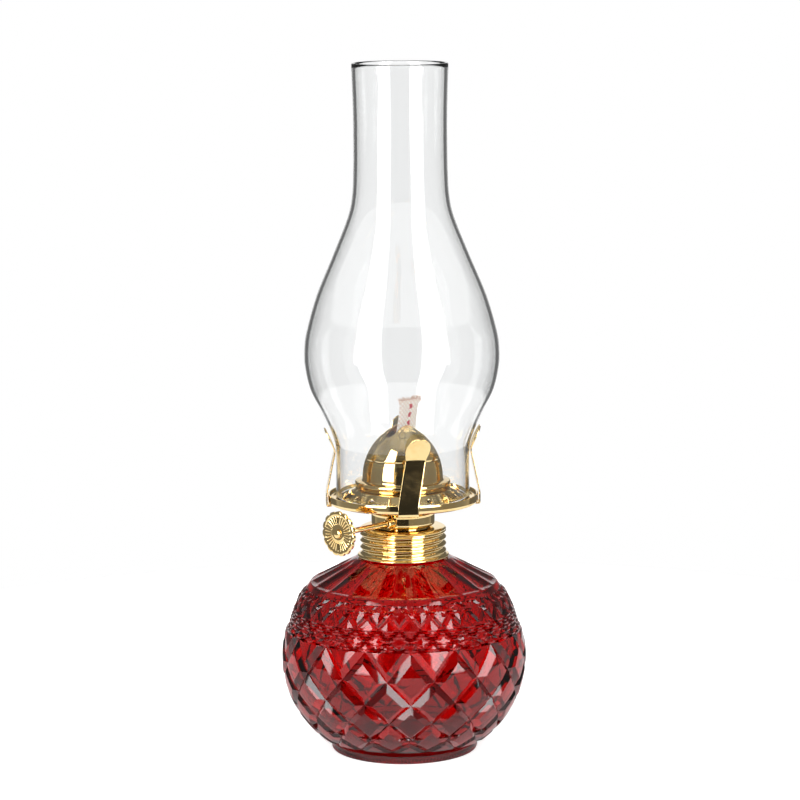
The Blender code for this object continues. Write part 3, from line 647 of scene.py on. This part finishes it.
def make_chimney():
    points = [(31.2, 0), (31.05, 10.9), (31.1, 21.8), (31.8, 27.0), (36.4, 38.3), (42.4, 50.2), (44.9, 60.8)]
    points += [(45.2, 69.2), (43.9, 78.2), (39.2, 94.3), (31.4, 113.0), (24.6, 130.0), (22.4, 140.0)]
    points += [(21.75, 152.0), (21.6, 166.0), (21.7, 181.0), (22.3, 200.8)]
    curve = [(radius * MM, CHIMNEY_FOOT + height * MM) for radius, height in curve_through(points, 6)]
    inner = [(radius - CHIMNEY_WALL, height) for radius, height in reversed(curve)]
    round_rim = 0.5 * MM
    (foot_r, foot_z), (top_r, top_z) = curve[0], curve[-1]
    outline = [(foot_r - round_rim, foot_z), (foot_r, foot_z + round_rim), *curve[1:-1]]
    outline += [(top_r - 0.1 * MM, top_z - round_rim), (top_r - round_rim, top_z)]
    outline += [(top_r - CHIMNEY_WALL + round_rim, top_z), (inner[0][0], top_z - round_rim)]
    outline += [*inner[1:-1], (inner[-1][0], foot_z + round_rim), (inner[-1][0] + round_rim, foot_z)]
    return turned(outline, 144, closed=True)


add_piece("glass_chimney", make_chimney(), clear_glass, "chimney", "chimney", sharp=60)

# %% [markdown]
# ## Screw collar
# A cap of thin brass whose wall is rolled into the neck's thread, so the same helix shows outside as
# ridges. It is spun as a closed sheet, inside and outside at once, and every point of the rolled part
# is then pushed by the wave.

# %% Screw collar
SHEET = 0.5 * MM
COLLAR_FOOT = 91.9 * MM
COLLAR_TOP = 105.7 * MM
PLATE_UNDER = 105.2 * MM
COLLAR_CREST = 19.6 * MM
COLLAR_HOLE = 12.7 * MM


def make_collar():
    low, high = COLLAR_FOOT + 1.2 * MM, PLATE_UNDER - 0.4 * MM
    rows = 56
    heights = [low + (high - low) * row / rows for row in range(rows + 1)]
    outer = COLLAR_CREST + SHEET
    top_edge = [(-1.6, 0), (-0.9, -0.12), (-0.3, -0.45)]
    foot_edge = [(0.7, 0.95), (1.25, 0.6), (1.3, 0.25), (1.05, 0), (0.8, 0.3), (0.3, 0.7)]
    outline = [(COLLAR_HOLE, COLLAR_TOP)]
    outline += [(outer + wide, height) for wide, height in in_mm(top_edge, COLLAR_TOP)]
    outline += [(outer, height) for height in reversed(heights)]
    outline += [(outer + wide, height) for wide, height in in_mm(foot_edge, COLLAR_FOOT)]
    outline += [(COLLAR_CREST, height) for height in heights]
    outline += [(COLLAR_CREST - 0.5 * MM, PLATE_UNDER), (COLLAR_HOLE, PLATE_UNDER)]
    bm = turned(outline, 144, closed=True)
    for vert in bm.verts:
        if low <= vert.co.z <= high and radius_of(vert) > COLLAR_CREST - 0.1 * MM:
            rolled = THREAD_DEPTH * (1 - thread_wave(vert))
            push_out(vert, -rolled * fade(vert.co.z, low, high, 0.9 * MM))
    return bm


add_piece("collar", make_collar(), bright_brass, "burner", "screw_collar", sharp=60)

# %% [markdown]
# ## Burner drum
# A drawn cup with a spigot that grips the collar's hole and a wide flange that carries the gallery. It
# is one open sheet: the outside is spun, holes are punched in it, and a Solidify modifier gives it the
# thickness of the metal, which also makes the walls of the holes. A punched hole takes out the faces
# inside it and moves the ragged edge on to a circle.

# %% Burner drum: punching a hole
def punch(bm, centre, along, radius, reach=4 * MM):
    """Opens a round hole in a sheet, about a line through centre."""
    along = Vector(along).normalized()
    centre = Vector(centre)

    def aside(point):
        step = point - centre
        return step - along * step.dot(along)

    inside = [
        face for face in bm.faces
        if aside(face.calc_center_median()).length < radius
        and abs((face.calc_center_median() - centre).dot(along)) < reach
    ]
    rim = {vert for face in inside for vert in face.verts}
    bmesh.ops.delete(bm, geom=inside, context="FACES")
    for vert in rim:
        if vert.is_valid and any(edge.is_boundary for edge in vert.link_edges):
            step = aside(vert.co)
            vert.co += step * (radius / step.length - 1)
    return len(inside)


# %% Burner drum
SHAFT_TURN = math.radians(225.0)
SHAFT_Z = 109.5 * MM
SHAFT_OFFSET = 5.5 * MM
AIR_INLETS = 10
AIR_INLET_RING = 22.1 * MM


def spread(outline, longest):
    """Adds points so that no straight part of an outline is longer than this."""
    points = [outline[0]]
    for start, end in zip(outline, outline[1:]):
        parts = max(1, math.ceil(math.dist(start, end) / longest))
        for part in range(1, parts + 1):
            points.append(tuple(a + (b - a) * part / parts for a, b in zip(start, end)))
    return points


def make_drum():
    spigot = [(3.3, 102.8), (11.4, 102.8), (12.1, 103.0), (12.4, 103.5), (12.4, 104.0), (13.2, 104.3)]
    spigot += [(13.2, 104.7), (12.4, 105.0), (12.4, 106.0), (13.2, 106.3), (14.2, 106.7)]
    wall = [(14.7, 107.2), (14.8, 107.8), (14.8, 112.2), (15.1, 112.8), (16.0, 113.2)]
    flange = [(28.5, 117.5), (29.6, 117.85), (30.6, 117.9), (33.2, 117.9)]
    bm = turned(spread(in_mm(spigot + wall + flange), 0.9 * MM), 160)
    bmesh.ops.rotate(bm, verts=bm.verts, matrix=Matrix.Rotation(SHAFT_TURN, 3, "Z"))
    if sum(face.normal.z for face in bm.faces if face.calc_center_median().z > 117.8 * MM) > 0:
        bmesh.ops.reverse_faces(bm, faces=bm.faces)
    turn = Matrix.Rotation(SHAFT_TURN, 3, "Z")
    for side, radius in ((1, 2.45 * MM), (-1, 1.5 * MM)):
        centre = turn @ Vector((side * 13.7 * MM, SHAFT_OFFSET, SHAFT_Z))
        punch(bm, centre, turn @ Vector((1, 0, 0)), radius)
    for step in range(AIR_INLETS):
        angle = SHAFT_TURN + TURN * (step + 0.5) / AIR_INLETS
        centre = (AIR_INLET_RING * math.cos(angle), AIR_INLET_RING * math.sin(angle), 115.0 * MM)
        punch(bm, centre, (0, 0, 1), 2.2 * MM)
    return bm


add_piece("drum", make_drum(), bright_brass, "burner", "burner_drum", sharp=50, wall=0.45 * MM)

# %% [markdown]
# ## Gallery
# The dished ring that holds the chimney: a sloping inner wall pierced with small air holes, a trough
# for the glass and a rolled rim. Every third place on the slope carries a lanced fin instead of a hole.

# %% Gallery
AIR_HOLES = 18
FIN_TURN = math.radians(-103.0)
SEAT_Z = 119.6 * MM
HOLE_RING = 26.0 * MM


def make_gallery():
    slope = [(20.6, 4.45), (21.0, 4.6), (21.9, 4.6), (22.6, 4.25), (28.6, 0.45), (29.4, 0.08)]
    trough = [(30.2, 0.0), (32.6, 0.0), (33.3, 0.15), (33.75, 0.6), (33.95, 1.3), (34.15, 1.7)]
    rim = [(34.5, 1.85), (34.85, 1.7), (34.97, 1.3), (35.0, -0.9), (34.85, -1.7), (34.4, -2.25)]
    rim += [(33.6, -2.5), (31.7, -2.5)]
    bm = turned(spread(in_mm(slope + trough + rim, SEAT_Z), 0.62 * MM), 288)
    bmesh.ops.rotate(bm, verts=bm.verts, matrix=Matrix.Rotation(FIN_TURN, 3, "Z"))
    seat = [face for face in bm.faces if 30.4 * MM < face.calc_center_median().xy.length < 32.4 * MM]
    if sum(face.normal.z for face in seat if face.calc_center_median().z > SEAT_Z - MM) < 0:
        bmesh.ops.reverse_faces(bm, faces=bm.faces)
    away = Vector((0.44, 0, 0.9))
    for step in range(AIR_HOLES):
        turn = Matrix.Rotation(FIN_TURN + TURN * step / AIR_HOLES, 3, "Z")
        centre = turn @ Vector((HOLE_RING, 0, SEAT_Z + 2.0 * MM))
        if step % 3:
            punch(bm, centre, turn @ away, 1.1 * MM)
    return bm


add_piece("gallery_ring", make_gallery(), bright_brass, "burner", "gallery", sharp=50, wall=0.45 * MM)


def make_fins():
    """Lanced tabs, each a small bent leaf with a raised point."""
    bm = bmesh.new()
    for step in range(0, AIR_HOLES, 3):
        leaf = bmesh.new()
        bmesh.ops.create_cube(leaf, size=1, matrix=Matrix.Diagonal((4.4 * MM, 0.5 * MM, 2.4 * MM, 1)))
        for vert in leaf.verts:
            if vert.co.z > 0:
                vert.co.x = vert.co.x * 0.55 - 0.4 * MM
            vert.co.z -= 0.42 * vert.co.x
        bmesh.ops.bevel(
            leaf, geom=leaf.edges, offset=0.12 * MM, segments=2, profile=0.5, affect="EDGES", material=-1
        )
        turn = Matrix.Rotation(FIN_TURN + TURN * step / AIR_HOLES, 4, "Z")
        place = Matrix.Translation((26.4 * MM, 0, SEAT_Z + 2.8 * MM))
        bmesh.ops.transform(leaf, verts=leaf.verts, matrix=turn @ place)
        take_in(bm, leaf)
    return bm


add_piece("gallery_fins", make_fins(), bright_brass, "burner")

# %% [markdown]
# ## Dome
# A bell that gathers the air round the flame, in two pieces: a skirt with a band that stands on the
# gallery, and a cap with the flame slot, pressed over the skirt so that a fine seam shows. The bell's
# outline is a formula, so its inverse places every ring of the cap exactly on the same surface. The cap
# starts as a circle at the seam, and each new ring is an extrusion of the last, moved a step closer to
# the outline of the slot.

# %% Dome: outlines
DOME_FOOT = 124.5 * MM
DOME_RADIUS = 18.8 * MM
DOME_RISE = 26.7 * MM
BAND_TOP = 3.3 * MM
SEAM = 13.5 * MM
TUCK = 0.8 * MM
SLOT = (19.5 * MM, 5.0 * MM)
LIP = 0.7 * MM


def bell(height):
    """Outer radius of the bell at a height above the dome's foot."""
    part = max(0.0, (height - BAND_TOP) / DOME_RISE)
    return DOME_RADIUS * (1 - part**2.25) ** 0.72


def bell_height(radius):
    """Height above the dome's foot at which the bell has this radius."""
    return BAND_TOP + DOME_RISE * (1 - min(1.0, radius / DOME_RADIUS) ** (1 / 0.72)) ** (1 / 2.25)


def stadium(length, width, share):
    """The point a share of the way round a slot with round ends, long along X."""
    radius = width / 2
    straight = length - width
    around = 2 * straight + TURN * radius
    place = (share % 1.0) * around
    quarter = TURN / 4 * radius
    if place > around - quarter:
        place -= around
    if place < quarter:
        angle = place / radius
        return straight / 2 + radius * math.cos(angle), radius * math.sin(angle)
    if place < quarter + straight:
        return straight / 2 - (place - quarter), radius
    if place < 3 * quarter + straight:
        angle = (place - straight) / radius
        return -straight / 2 + radius * math.cos(angle), radius * math.sin(angle)
    return -straight / 2 + (place - 3 * quarter - straight), -radius


# %% Dome: growing a sheet row by row
def grow(bm, row, closed=False):
    """Extrudes a chain of points and gives the new points in the same order."""
    pairs = zip(row, row[1:] + row[:1]) if closed else zip(row, row[1:])
    made = bmesh.ops.extrude_edge_only(bm, edges=[bm.edges.get(pair) for pair in pairs])["geom"]
    new = {item for item in made if isinstance(item, bmesh.types.BMVert)}

    def grown(vert):
        others = (edge.other_vert(vert) for edge in vert.link_edges)
        return next(other for other in others if other in new)

    return [grown(vert) for vert in row]


def face_outwards(bm, measure):
    """Turns an open sheet over if its faces point the wrong way, as summed by measure."""
    bm.normal_update()
    if sum(measure(face) for face in bm.faces) < 0:
        bmesh.ops.reverse_faces(bm, faces=bm.faces)


# %% Dome: the skirt
def make_skirt():
    outline = in_mm([(22.2, 0), (22.2, 2.7), (22.05, 3.1), (21.7, 3.3), (19.4, 3.35), (18.95, 3.6)])
    steps = 18
    heights = [3.9 * MM + (SEAM - 4.1 * MM) * step / steps for step in range(steps + 1)]
    outline += [(bell(height), height) for height in heights]
    outline += [(bell(SEAM) - TUCK, SEAM - 0.05 * MM)]
    outline += [(bell(SEAM + 2 * TUCK) - TUCK, SEAM + 2 * TUCK)]
    bm = turned([(radius, DOME_FOOT + height) for radius, height in outline], 160)
    face_outwards(bm, lambda face: face.normal.xy.dot(face.calc_center_median().xy))
    return bm


add_piece("dome_wall", make_skirt(), bright_brass, "dome", "dome_skirt", sharp=50, wall=0.4 * MM)


# %% Dome: the cap
def make_cap():
    columns = 160
    rings = 26
    bm = bmesh.new()
    bmesh.ops.create_circle(bm, segments=columns, radius=bell(SEAM))
    row = sorted(bm.verts, key=lambda vert: round(angle_of(vert) % TURN, 5))
    circle = [vert.co.xy.copy() for vert in row]
    shares = [angle_of(vert) / TURN for vert in row]
    for vert in row:
        vert.co.z = DOME_FOOT + SEAM
    for step in range(1, rings + 1):
        row = grow(bm, row, closed=True)
        for vert, start, share in zip(row, circle, shares):
            edge = Vector(stadium(SLOT[0] + LIP, SLOT[1] + LIP, share))
            point = start.lerp(edge, math.sin(TURN / 4 * step / rings))
            vert.co = (*point, DOME_FOOT + bell_height(point.length))
    for wide, rise in in_mm([(0.45, 0.07), (0.2, 0.03), (0.05, -0.15), (0.0, -0.5)]):
        row = grow(bm, row, closed=True)
        for vert, share in zip(row, shares):
            point = Vector(stadium(SLOT[0] + wide, SLOT[1] + wide, share))
            vert.co = (*point, DOME_FOOT + bell_height(point.length) + rise)
    bmesh.ops.rotate(bm, verts=bm.verts, matrix=Matrix.Rotation(SHAFT_TURN, 3, "Z"))
    face_outwards(bm, lambda face: face.normal.z)
    return bm


add_piece("dome_top", make_cap(), bright_brass, "dome", "dome_cap", sharp=50, wall=0.35 * MM)

# %% [markdown]
# ## Wick tube, bush and raiser
# The flat tube that guides the wick is a stadium outline pulled up. The raiser is a thin shaft through a
# bush in the drum's wall, with two toothed wheels that bite the wick and a knob outside.

# %% Wick tube
def flat_loop(bm, length, width, height, columns):
    """A closed loop of points with two straight sides and round ends."""
    points = [stadium(length, width, index / columns) for index in range(columns)]
    row = [bm.verts.new((*point, height)) for point in points]
    for pair in zip(row, row[1:] + row[:1]):
        bm.edges.new(pair)
    return row


def make_tube():
    bm = bmesh.new()
    row = flat_loop(bm, 13.8 * MM, 4.3 * MM, 98.8 * MM, 72)
    for height in (110.0 * MM, 123.0 * MM, 136.2 * MM):
        row = grow(bm, row, closed=True)
        for vert in row:
            vert.co.z = height
    bmesh.ops.rotate(bm, verts=bm.verts, matrix=Matrix.Rotation(SHAFT_TURN, 3, "Z"))
    bmesh.ops.recalc_face_normals(bm, faces=bm.faces)
    return bm


add_piece("tube", make_tube(), inside_brass, "burner", "wick_tube", wall=0.4 * MM)

# %% Shaft, bush and rivet
TO_SHAFT = Matrix.Rotation(SHAFT_TURN, 4, "Z") @ Matrix.Translation((0, SHAFT_OFFSET, SHAFT_Z))
LAY_DOWN = TO_SHAFT @ Matrix.Rotation(TURN / 4, 4, "Y")
KNOB_FACE = 47.6 * MM


def on_shaft(outline, segments, closed=False):
    """A turned shape laid along the raiser's shaft, which runs out towards the knob."""
    bm = turned(in_mm(outline), segments, closed)
    bmesh.ops.transform(bm, verts=bm.verts, matrix=LAY_DOWN)
    return bm


shaft = [(0, -14.3), (1.05, -14.3), (1.25, -14.1), (1.25, 47.1), (1.1, 47.3), (0, 47.3)]
add_piece("raiser_shaft", on_shaft(shaft, 40), bright_brass, "raiser", "wick_shaft")
bush = [(2.2, 11.8), (2.2, 16.1), (2.05, 16.34), (1.8, 16.4), (1.6, 16.3), (1.55, 16.0), (1.55, 11.8)]
add_piece("bush", on_shaft(bush, 48, True), bright_brass, "burner", "shaft_bush")
rivet = [(0, 47.9), (1.9, 47.9), (2.0, 48.0), (1.9, 48.3), (1.5, 48.55), (0.9, 48.68), (0, 48.72)]
add_piece("rivet", on_shaft(rivet, 48), bright_brass, "raiser", "knob_rivet", sharp=60)

# %% [markdown]
# The knob is a stamped disc with a scalloped edge and a ring of plain ticks pressed round its face. Its
# face is a grid of rings and spokes, so both the scallops and the ticks are moves of those points.

# %% Knob
SCALLOPS = 15
TICKS = 30


def make_knob():
    spokes = SCALLOPS * 24
    face = [(1.55, 0.05), (2.2, 0.1), (3.2, 0.12), (3.9, 0.0)]
    face += [(radius, -0.1) for radius in (4.2, 4.7, 5.1, 5.6, 6.2, 6.8, 7.4, 7.9, 8.2)]
    face += [(8.6, 0.05), (9.0, 0.1), (9.6, 0.1), (10.05, 0.0), (10.3, -0.2)]
    back = [(10.35, -1.3), (10.2, -1.5), (9.6, -1.6), (1.55, -1.6)]
    outline = [(radius * MM, KNOB_FACE + height * MM - 0.1 * MM) for radius, height in face + back]
    bm = turned(outline, spokes, closed=True)
    for vert in bm.verts:
        radius = radius_of(vert)
        turn = angle_of(vert) / TURN
        if radius > 8.9 * MM:
            wave = abs(math.sin(math.pi * turn * SCALLOPS))
            push_out(vert, -0.75 * MM * (1 - wave) ** 1.6 * min(1.0, (radius - 8.9 * MM) / MM))
        if 4.65 * MM < radius < 7.95 * MM and vert.co.z > KNOB_FACE - 0.5 * MM:
            tick = line_distance(turn * TICKS, 1.0)
            vert.co.z += 0.3 * MM * max(0.0, 1 - tick / 0.2)
    bmesh.ops.transform(bm, verts=bm.verts, matrix=LAY_DOWN)
    return bm


add_piece("knob", make_knob(), bright_brass, "raiser", "knob_disc", sharp=35)

# %% [markdown]
# ## Prongs
# Four spring strips hook under the gallery's rim and press the chimney. Each is a strip of sheet that
# follows a side outline and widens into a paddle with a rounded end. It starts as one edge across the
# strip, which is extruded along the outline.

# %% Prongs
PRONG_TURNS = {"front": -85.9, "right": 4.1, "back": 94.1, "left": 184.1}
PRONG_LEANS = {"front": 10.3, "right": 2.0, "back": -5.4, "left": 1.0}
ACROSS = 12


def make_prong(name):
    hook = [(33.5, 116.2), (34.4, 116.2), (35.15, 116.2), (35.6, 116.35), (35.85, 116.8)]
    hook += [(35.9, 117.7), (35.9, 121.7), (35.4, 124.5), (34.5, 128.9)]
    side = [(radius, height, 4.7) for radius, height in hook]
    side += [(33.4, 134.5, 4.68), (32.5, 138.7, 4.62), (32.0, 140.9, 4.6), (31.95, 141.8, 4.62)]
    side += [(32.1, 142.8, 4.75), (32.9, 144.6, 5.25), (33.5, 146.0, 5.45), (34.3, 147.7, 5.5)]
    side += [(35.1, 149.2, 5.2), (35.7, 150.4, 4.5), (36.2, 151.4, 3.3), (36.5, 152.1, 1.9)]
    lean = math.tan(math.radians(PRONG_LEANS[name]))
    bm = bmesh.new()
    row = [bm.verts.new() for column in range(ACROSS + 1)]
    for pair in zip(row, row[1:]):
        bm.edges.new(pair)
    for station, (radius, height, half) in enumerate(side):
        if station:
            row = grow(bm, row)
        dish = 0.45 * min(1.0, max(0.0, (height - 142.2) / 4))
        for index, vert in enumerate(row):
            share = 2 * index / ACROSS - 1
            aside = share * half + max(0.0, height - 121.5) * lean
            vert.co = Vector((radius - dish * (1 - share**2), aside, height)) * MM
    turn = Matrix.Rotation(math.radians(PRONG_TURNS[name]), 3, "Z")
    bmesh.ops.rotate(bm, verts=bm.verts, matrix=turn)
    out = turn @ Vector((1, 0, 0))
    face_outwards(bm, lambda face: face.normal.dot(out))
    return bm


for side_name in PRONG_TURNS:
    strip = add_piece(
        "prong_strip_" + side_name, make_prong(side_name), spring_brass, "prong_" + side_name,
        "prong_" + side_name, sharp=60, wall=0.55 * MM
    )
    rounding = strip.modifiers.new("rounding", "BEVEL")
    rounding.width = 0.12 * MM
    rounding.segments = 2
    rounding.limit_method = "ANGLE"

# %% [markdown]
# ## Wick
# A flat braid of cotton with a red tracer thread down its middle, frayed where it is trimmed. It runs up
# through the tube and leans towards the back right once it is clear. Its body is a stadium loop pulled
# along the strap, pushed in and out by the crossing strands of the braid, and the frayed top is a set
# of thin curved threads. The weave's colour follows a UV map in millimetres across and along the strap.
# It is painted darker in the valleys between strands, which is painted shade on top of the fibres' own
# random tone, and the cotton also glows a little from its own colour, which is a painted glow.

# %% Wick: the strap
WICK_WIDTH = 12.0 * MM
WICK_THICKNESS = 2.5 * MM
WICK_FOOT = 35.7 * MM
WICK_TOP = 164.8 * MM
FRAY_TOP = 166.65 * MM
STRAND = 2.0 * MM
LEAN = 5.2 * MM
LEAN_START = 139.5 * MM
LEAN_RUN = 27.0 * MM


def lean_at(height):
    """How far the wick has moved along the slot at a height."""
    free = max(0.0, height - LEAN_START)
    return LEAN * min(1.0, free / LEAN_RUN) ** 0.9


def make_strap():
    columns = 72
    rows = 300
    bm = bmesh.new()
    map_layer = bm.loops.layers.uv.new("weave")
    row = flat_loop(bm, WICK_WIDTH - 0.5 * MM, WICK_THICKNESS - 0.5 * MM, WICK_FOOT, columns)
    start = row
    outline = [vert.co.xy.copy() for vert in row]
    places = {vert: (point.x, 0.0) for vert, point in zip(row, outline)}
    for step in range(1, rows + 1):
        row = grow(bm, row, closed=True)
        height = WICK_FOOT + (WICK_TOP - WICK_FOOT) * step / rows
        for vert, point in zip(row, outline):
            places[vert] = (point.x, height - WICK_FOOT)
            vert.co = (*point, height)
    for end in (start, row):
        rim = [bm.edges.get(pair) for pair in zip(end, end[1:] + end[:1])]
        bmesh.ops.contextual_create(bm, geom=rim)
    for vert, (across, along) in places.items():
        one_way = math.sin(math.pi * (along + across) / STRAND)
        other_way = math.sin(math.pi * (along - across) / STRAND)
        push = 0.28 * MM * (one_way * other_way)
        vert.co.y += math.copysign(push, vert.co.y) if abs(vert.co.y) > 0.2 * MM else 0.0
        loose = max(0.0, 1 - (WICK_TOP - vert.co.z) / (6 * MM))
        taper = 1 - 0.05 * math.sin(along / (9 * MM)) + 0.16 * loose**2
        vert.co.x = vert.co.x * taper - lean_at(vert.co.z)
    for face in bm.faces:
        for loop in face.loops:
            across, along = places[loop.vert]
            loop[map_layer].uv = (across / MM, along / MM)
    bmesh.ops.rotate(bm, verts=bm.verts, matrix=Matrix.Rotation(SHAFT_TURN, 3, "Z"))
    bmesh.ops.recalc_face_normals(bm, faces=bm.faces)
    return bm


# %% Wick: cotton
def make_glowing_cotton(name, tracer):
    """Braided cotton with painted shade in the braid's valleys and a painted glow from its own colour. With
    tracer, a dashed red thread runs along the middle of the map.
    """
    finish, tree, shader = new_finish(name)
    place = add_node(tree, "ShaderNodeUVMap", uv_map="weave").outputs[0]
    split = add_node(tree, "ShaderNodeSeparateXYZ")
    tree.links.new(place, split.inputs[0])
    across, along = split.outputs[0], split.outputs[1]

    def strands(first, second):
        both = do_math(tree, "ADD", first, second)
        ridge = do_math(tree, "MULTIPLY", both, math.pi / (STRAND / MM))
        return do_math(tree, "ABSOLUTE", do_math(tree, "SINE", ridge))

    one = strands(along, across)
    other = strands(along, do_math(tree, "MULTIPLY", across, -1.0))
    weave = do_math(tree, "MINIMUM", one, other)
    fibre = add_node(tree, "ShaderNodeTexNoise", in_Scale=5.0, in_Detail=4.0, in_Roughness=0.7)
    tree.links.new(place, fibre.inputs["Vector"])
    # Painted shade: where the strands dip, weave is low and the ramp gives its dark brown end, so the
    # braid's valleys are painted darker; the fibre noise adds the cotton's own random tone.
    ramp = add_node(tree, "ShaderNodeValToRGB")
    ramp.color_ramp.elements[0].color = (0.46, 0.27, 0.18, 1)
    ramp.color_ramp.elements[0].position = 0.2
    ramp.color_ramp.elements[1].color = (1.0, 0.94, 0.87, 1)
    ramp.color_ramp.elements[1].position = 0.72
    fuzz = do_math(tree, "MULTIPLY", fibre.outputs[0], 0.6)
    mixed = do_math(tree, "ADD", do_math(tree, "MULTIPLY", weave, 0.6), fuzz)
    tree.links.new(mixed, ramp.inputs[0])
    colour = ramp.outputs[0]
    if tracer:
        sway = do_math(tree, "SINE", do_math(tree, "MULTIPLY", along, 2.1))
        wander = do_math(tree, "MULTIPLY", sway, 0.3)
        off = do_math(tree, "ABSOLUTE", do_math(tree, "ADD", across, wander))
        dash = do_math(tree, "SINE", do_math(tree, "MULTIPLY", along, TURN / 3.8))
        red = do_math(tree, "MULTIPLY", ease(tree, off, 1.05, 0.75), ease(tree, dash, -0.25, 0.0))
        colour = blend_colours(tree, red, colour, (0.50, 0.01, 0.03, 1))
    tree.links.new(colour, shader.inputs["Base Color"])
    # Painted glow: the cotton's own colour also goes to Emission at strength 0.25, so the wick glows a
    # little though it is no lamp.
    tree.links.new(colour, shader.inputs["Emission Color"])
    fill(shader, Emission_Strength=0.25, Roughness=0.95, Sheen_Weight=0.4)
    bump_with(tree, mixed, 1.0, 0.4 * MM)
    return finish


glowing_strap_cotton = make_glowing_cotton("glowing_strap_cotton", True)
glowing_loose_cotton = make_glowing_cotton("glowing_loose_cotton", False)
add_piece("wick_strap", make_strap(), glowing_strap_cotton, "wick", "flat_wick", sharp=80)

# %% Wick: frayed threads at the top
def make_fray():
    """Thin threads that spread from the trimmed edge, each a bent three-sided rod."""
    picker = random.Random(7)
    bm = bmesh.new()
    bm.loops.layers.uv.new("weave")
    for thread in range(150):
        x = picker.uniform(-0.47, 0.47) * WICK_WIDTH
        y = picker.uniform(-0.36, 0.36) * WICK_THICKNESS
        start = Vector((1.14 * x - lean_at(WICK_TOP), y, WICK_TOP - picker.uniform(0.5, 2.2) * MM))
        length = picker.uniform(1.8, 3.3) * MM
        spread_x = x / WICK_WIDTH * 1.0 + picker.uniform(-0.4, 0.4)
        spread_y = picker.uniform(-0.5, 0.5)
        thick = picker.uniform(0.15, 0.28) * MM
        row = [bm.verts.new(start + thick * Vector((math.cos(turn), math.sin(turn), 0)))
               for turn in (0, TURN / 3, 2 * TURN / 3)]
        bm.faces.new(reversed(row))
        for part in range(1, 5):
            for pair in zip(row, row[1:] + row[:1]):
                if not bm.edges.get(pair):
                    bm.edges.new(pair)
            row = grow(bm, row, closed=True)
            share = part / 4
            middle = start + length * Vector((spread_x * share**2, spread_y * share**2, share))
            for vert, turn in zip(row, (0, TURN / 3, 2 * TURN / 3)):
                vert.co = middle + thick * (1.15 - share) * Vector((math.cos(turn), math.sin(turn), 0))
        bm.faces.new(row)
    for vert in bm.verts:
        vert.co.z = min(vert.co.z, FRAY_TOP)
    bmesh.ops.rotate(bm, verts=bm.verts, matrix=Matrix.Rotation(SHAFT_TURN, 3, "Z"))
    bmesh.ops.recalc_face_normals(bm, faces=bm.faces)
    return bm


add_piece("wick_fray", make_fray(), glowing_loose_cotton, "wick", None, sharp=80)

# %% [markdown]
# ## Pieces kept from the solid model
# The cork gasket and the two toothed wheels already have their right shape, so they only get finishes.

# %% Pieces kept from the solid model
def dress(node, material):
    for slot in bpy.data.objects[node].material_slots:
        slot.material = material


dress("neck_gasket", cork)
dress("sprocket_outer", inside_brass)
dress("sprocket_inner", inside_brass)
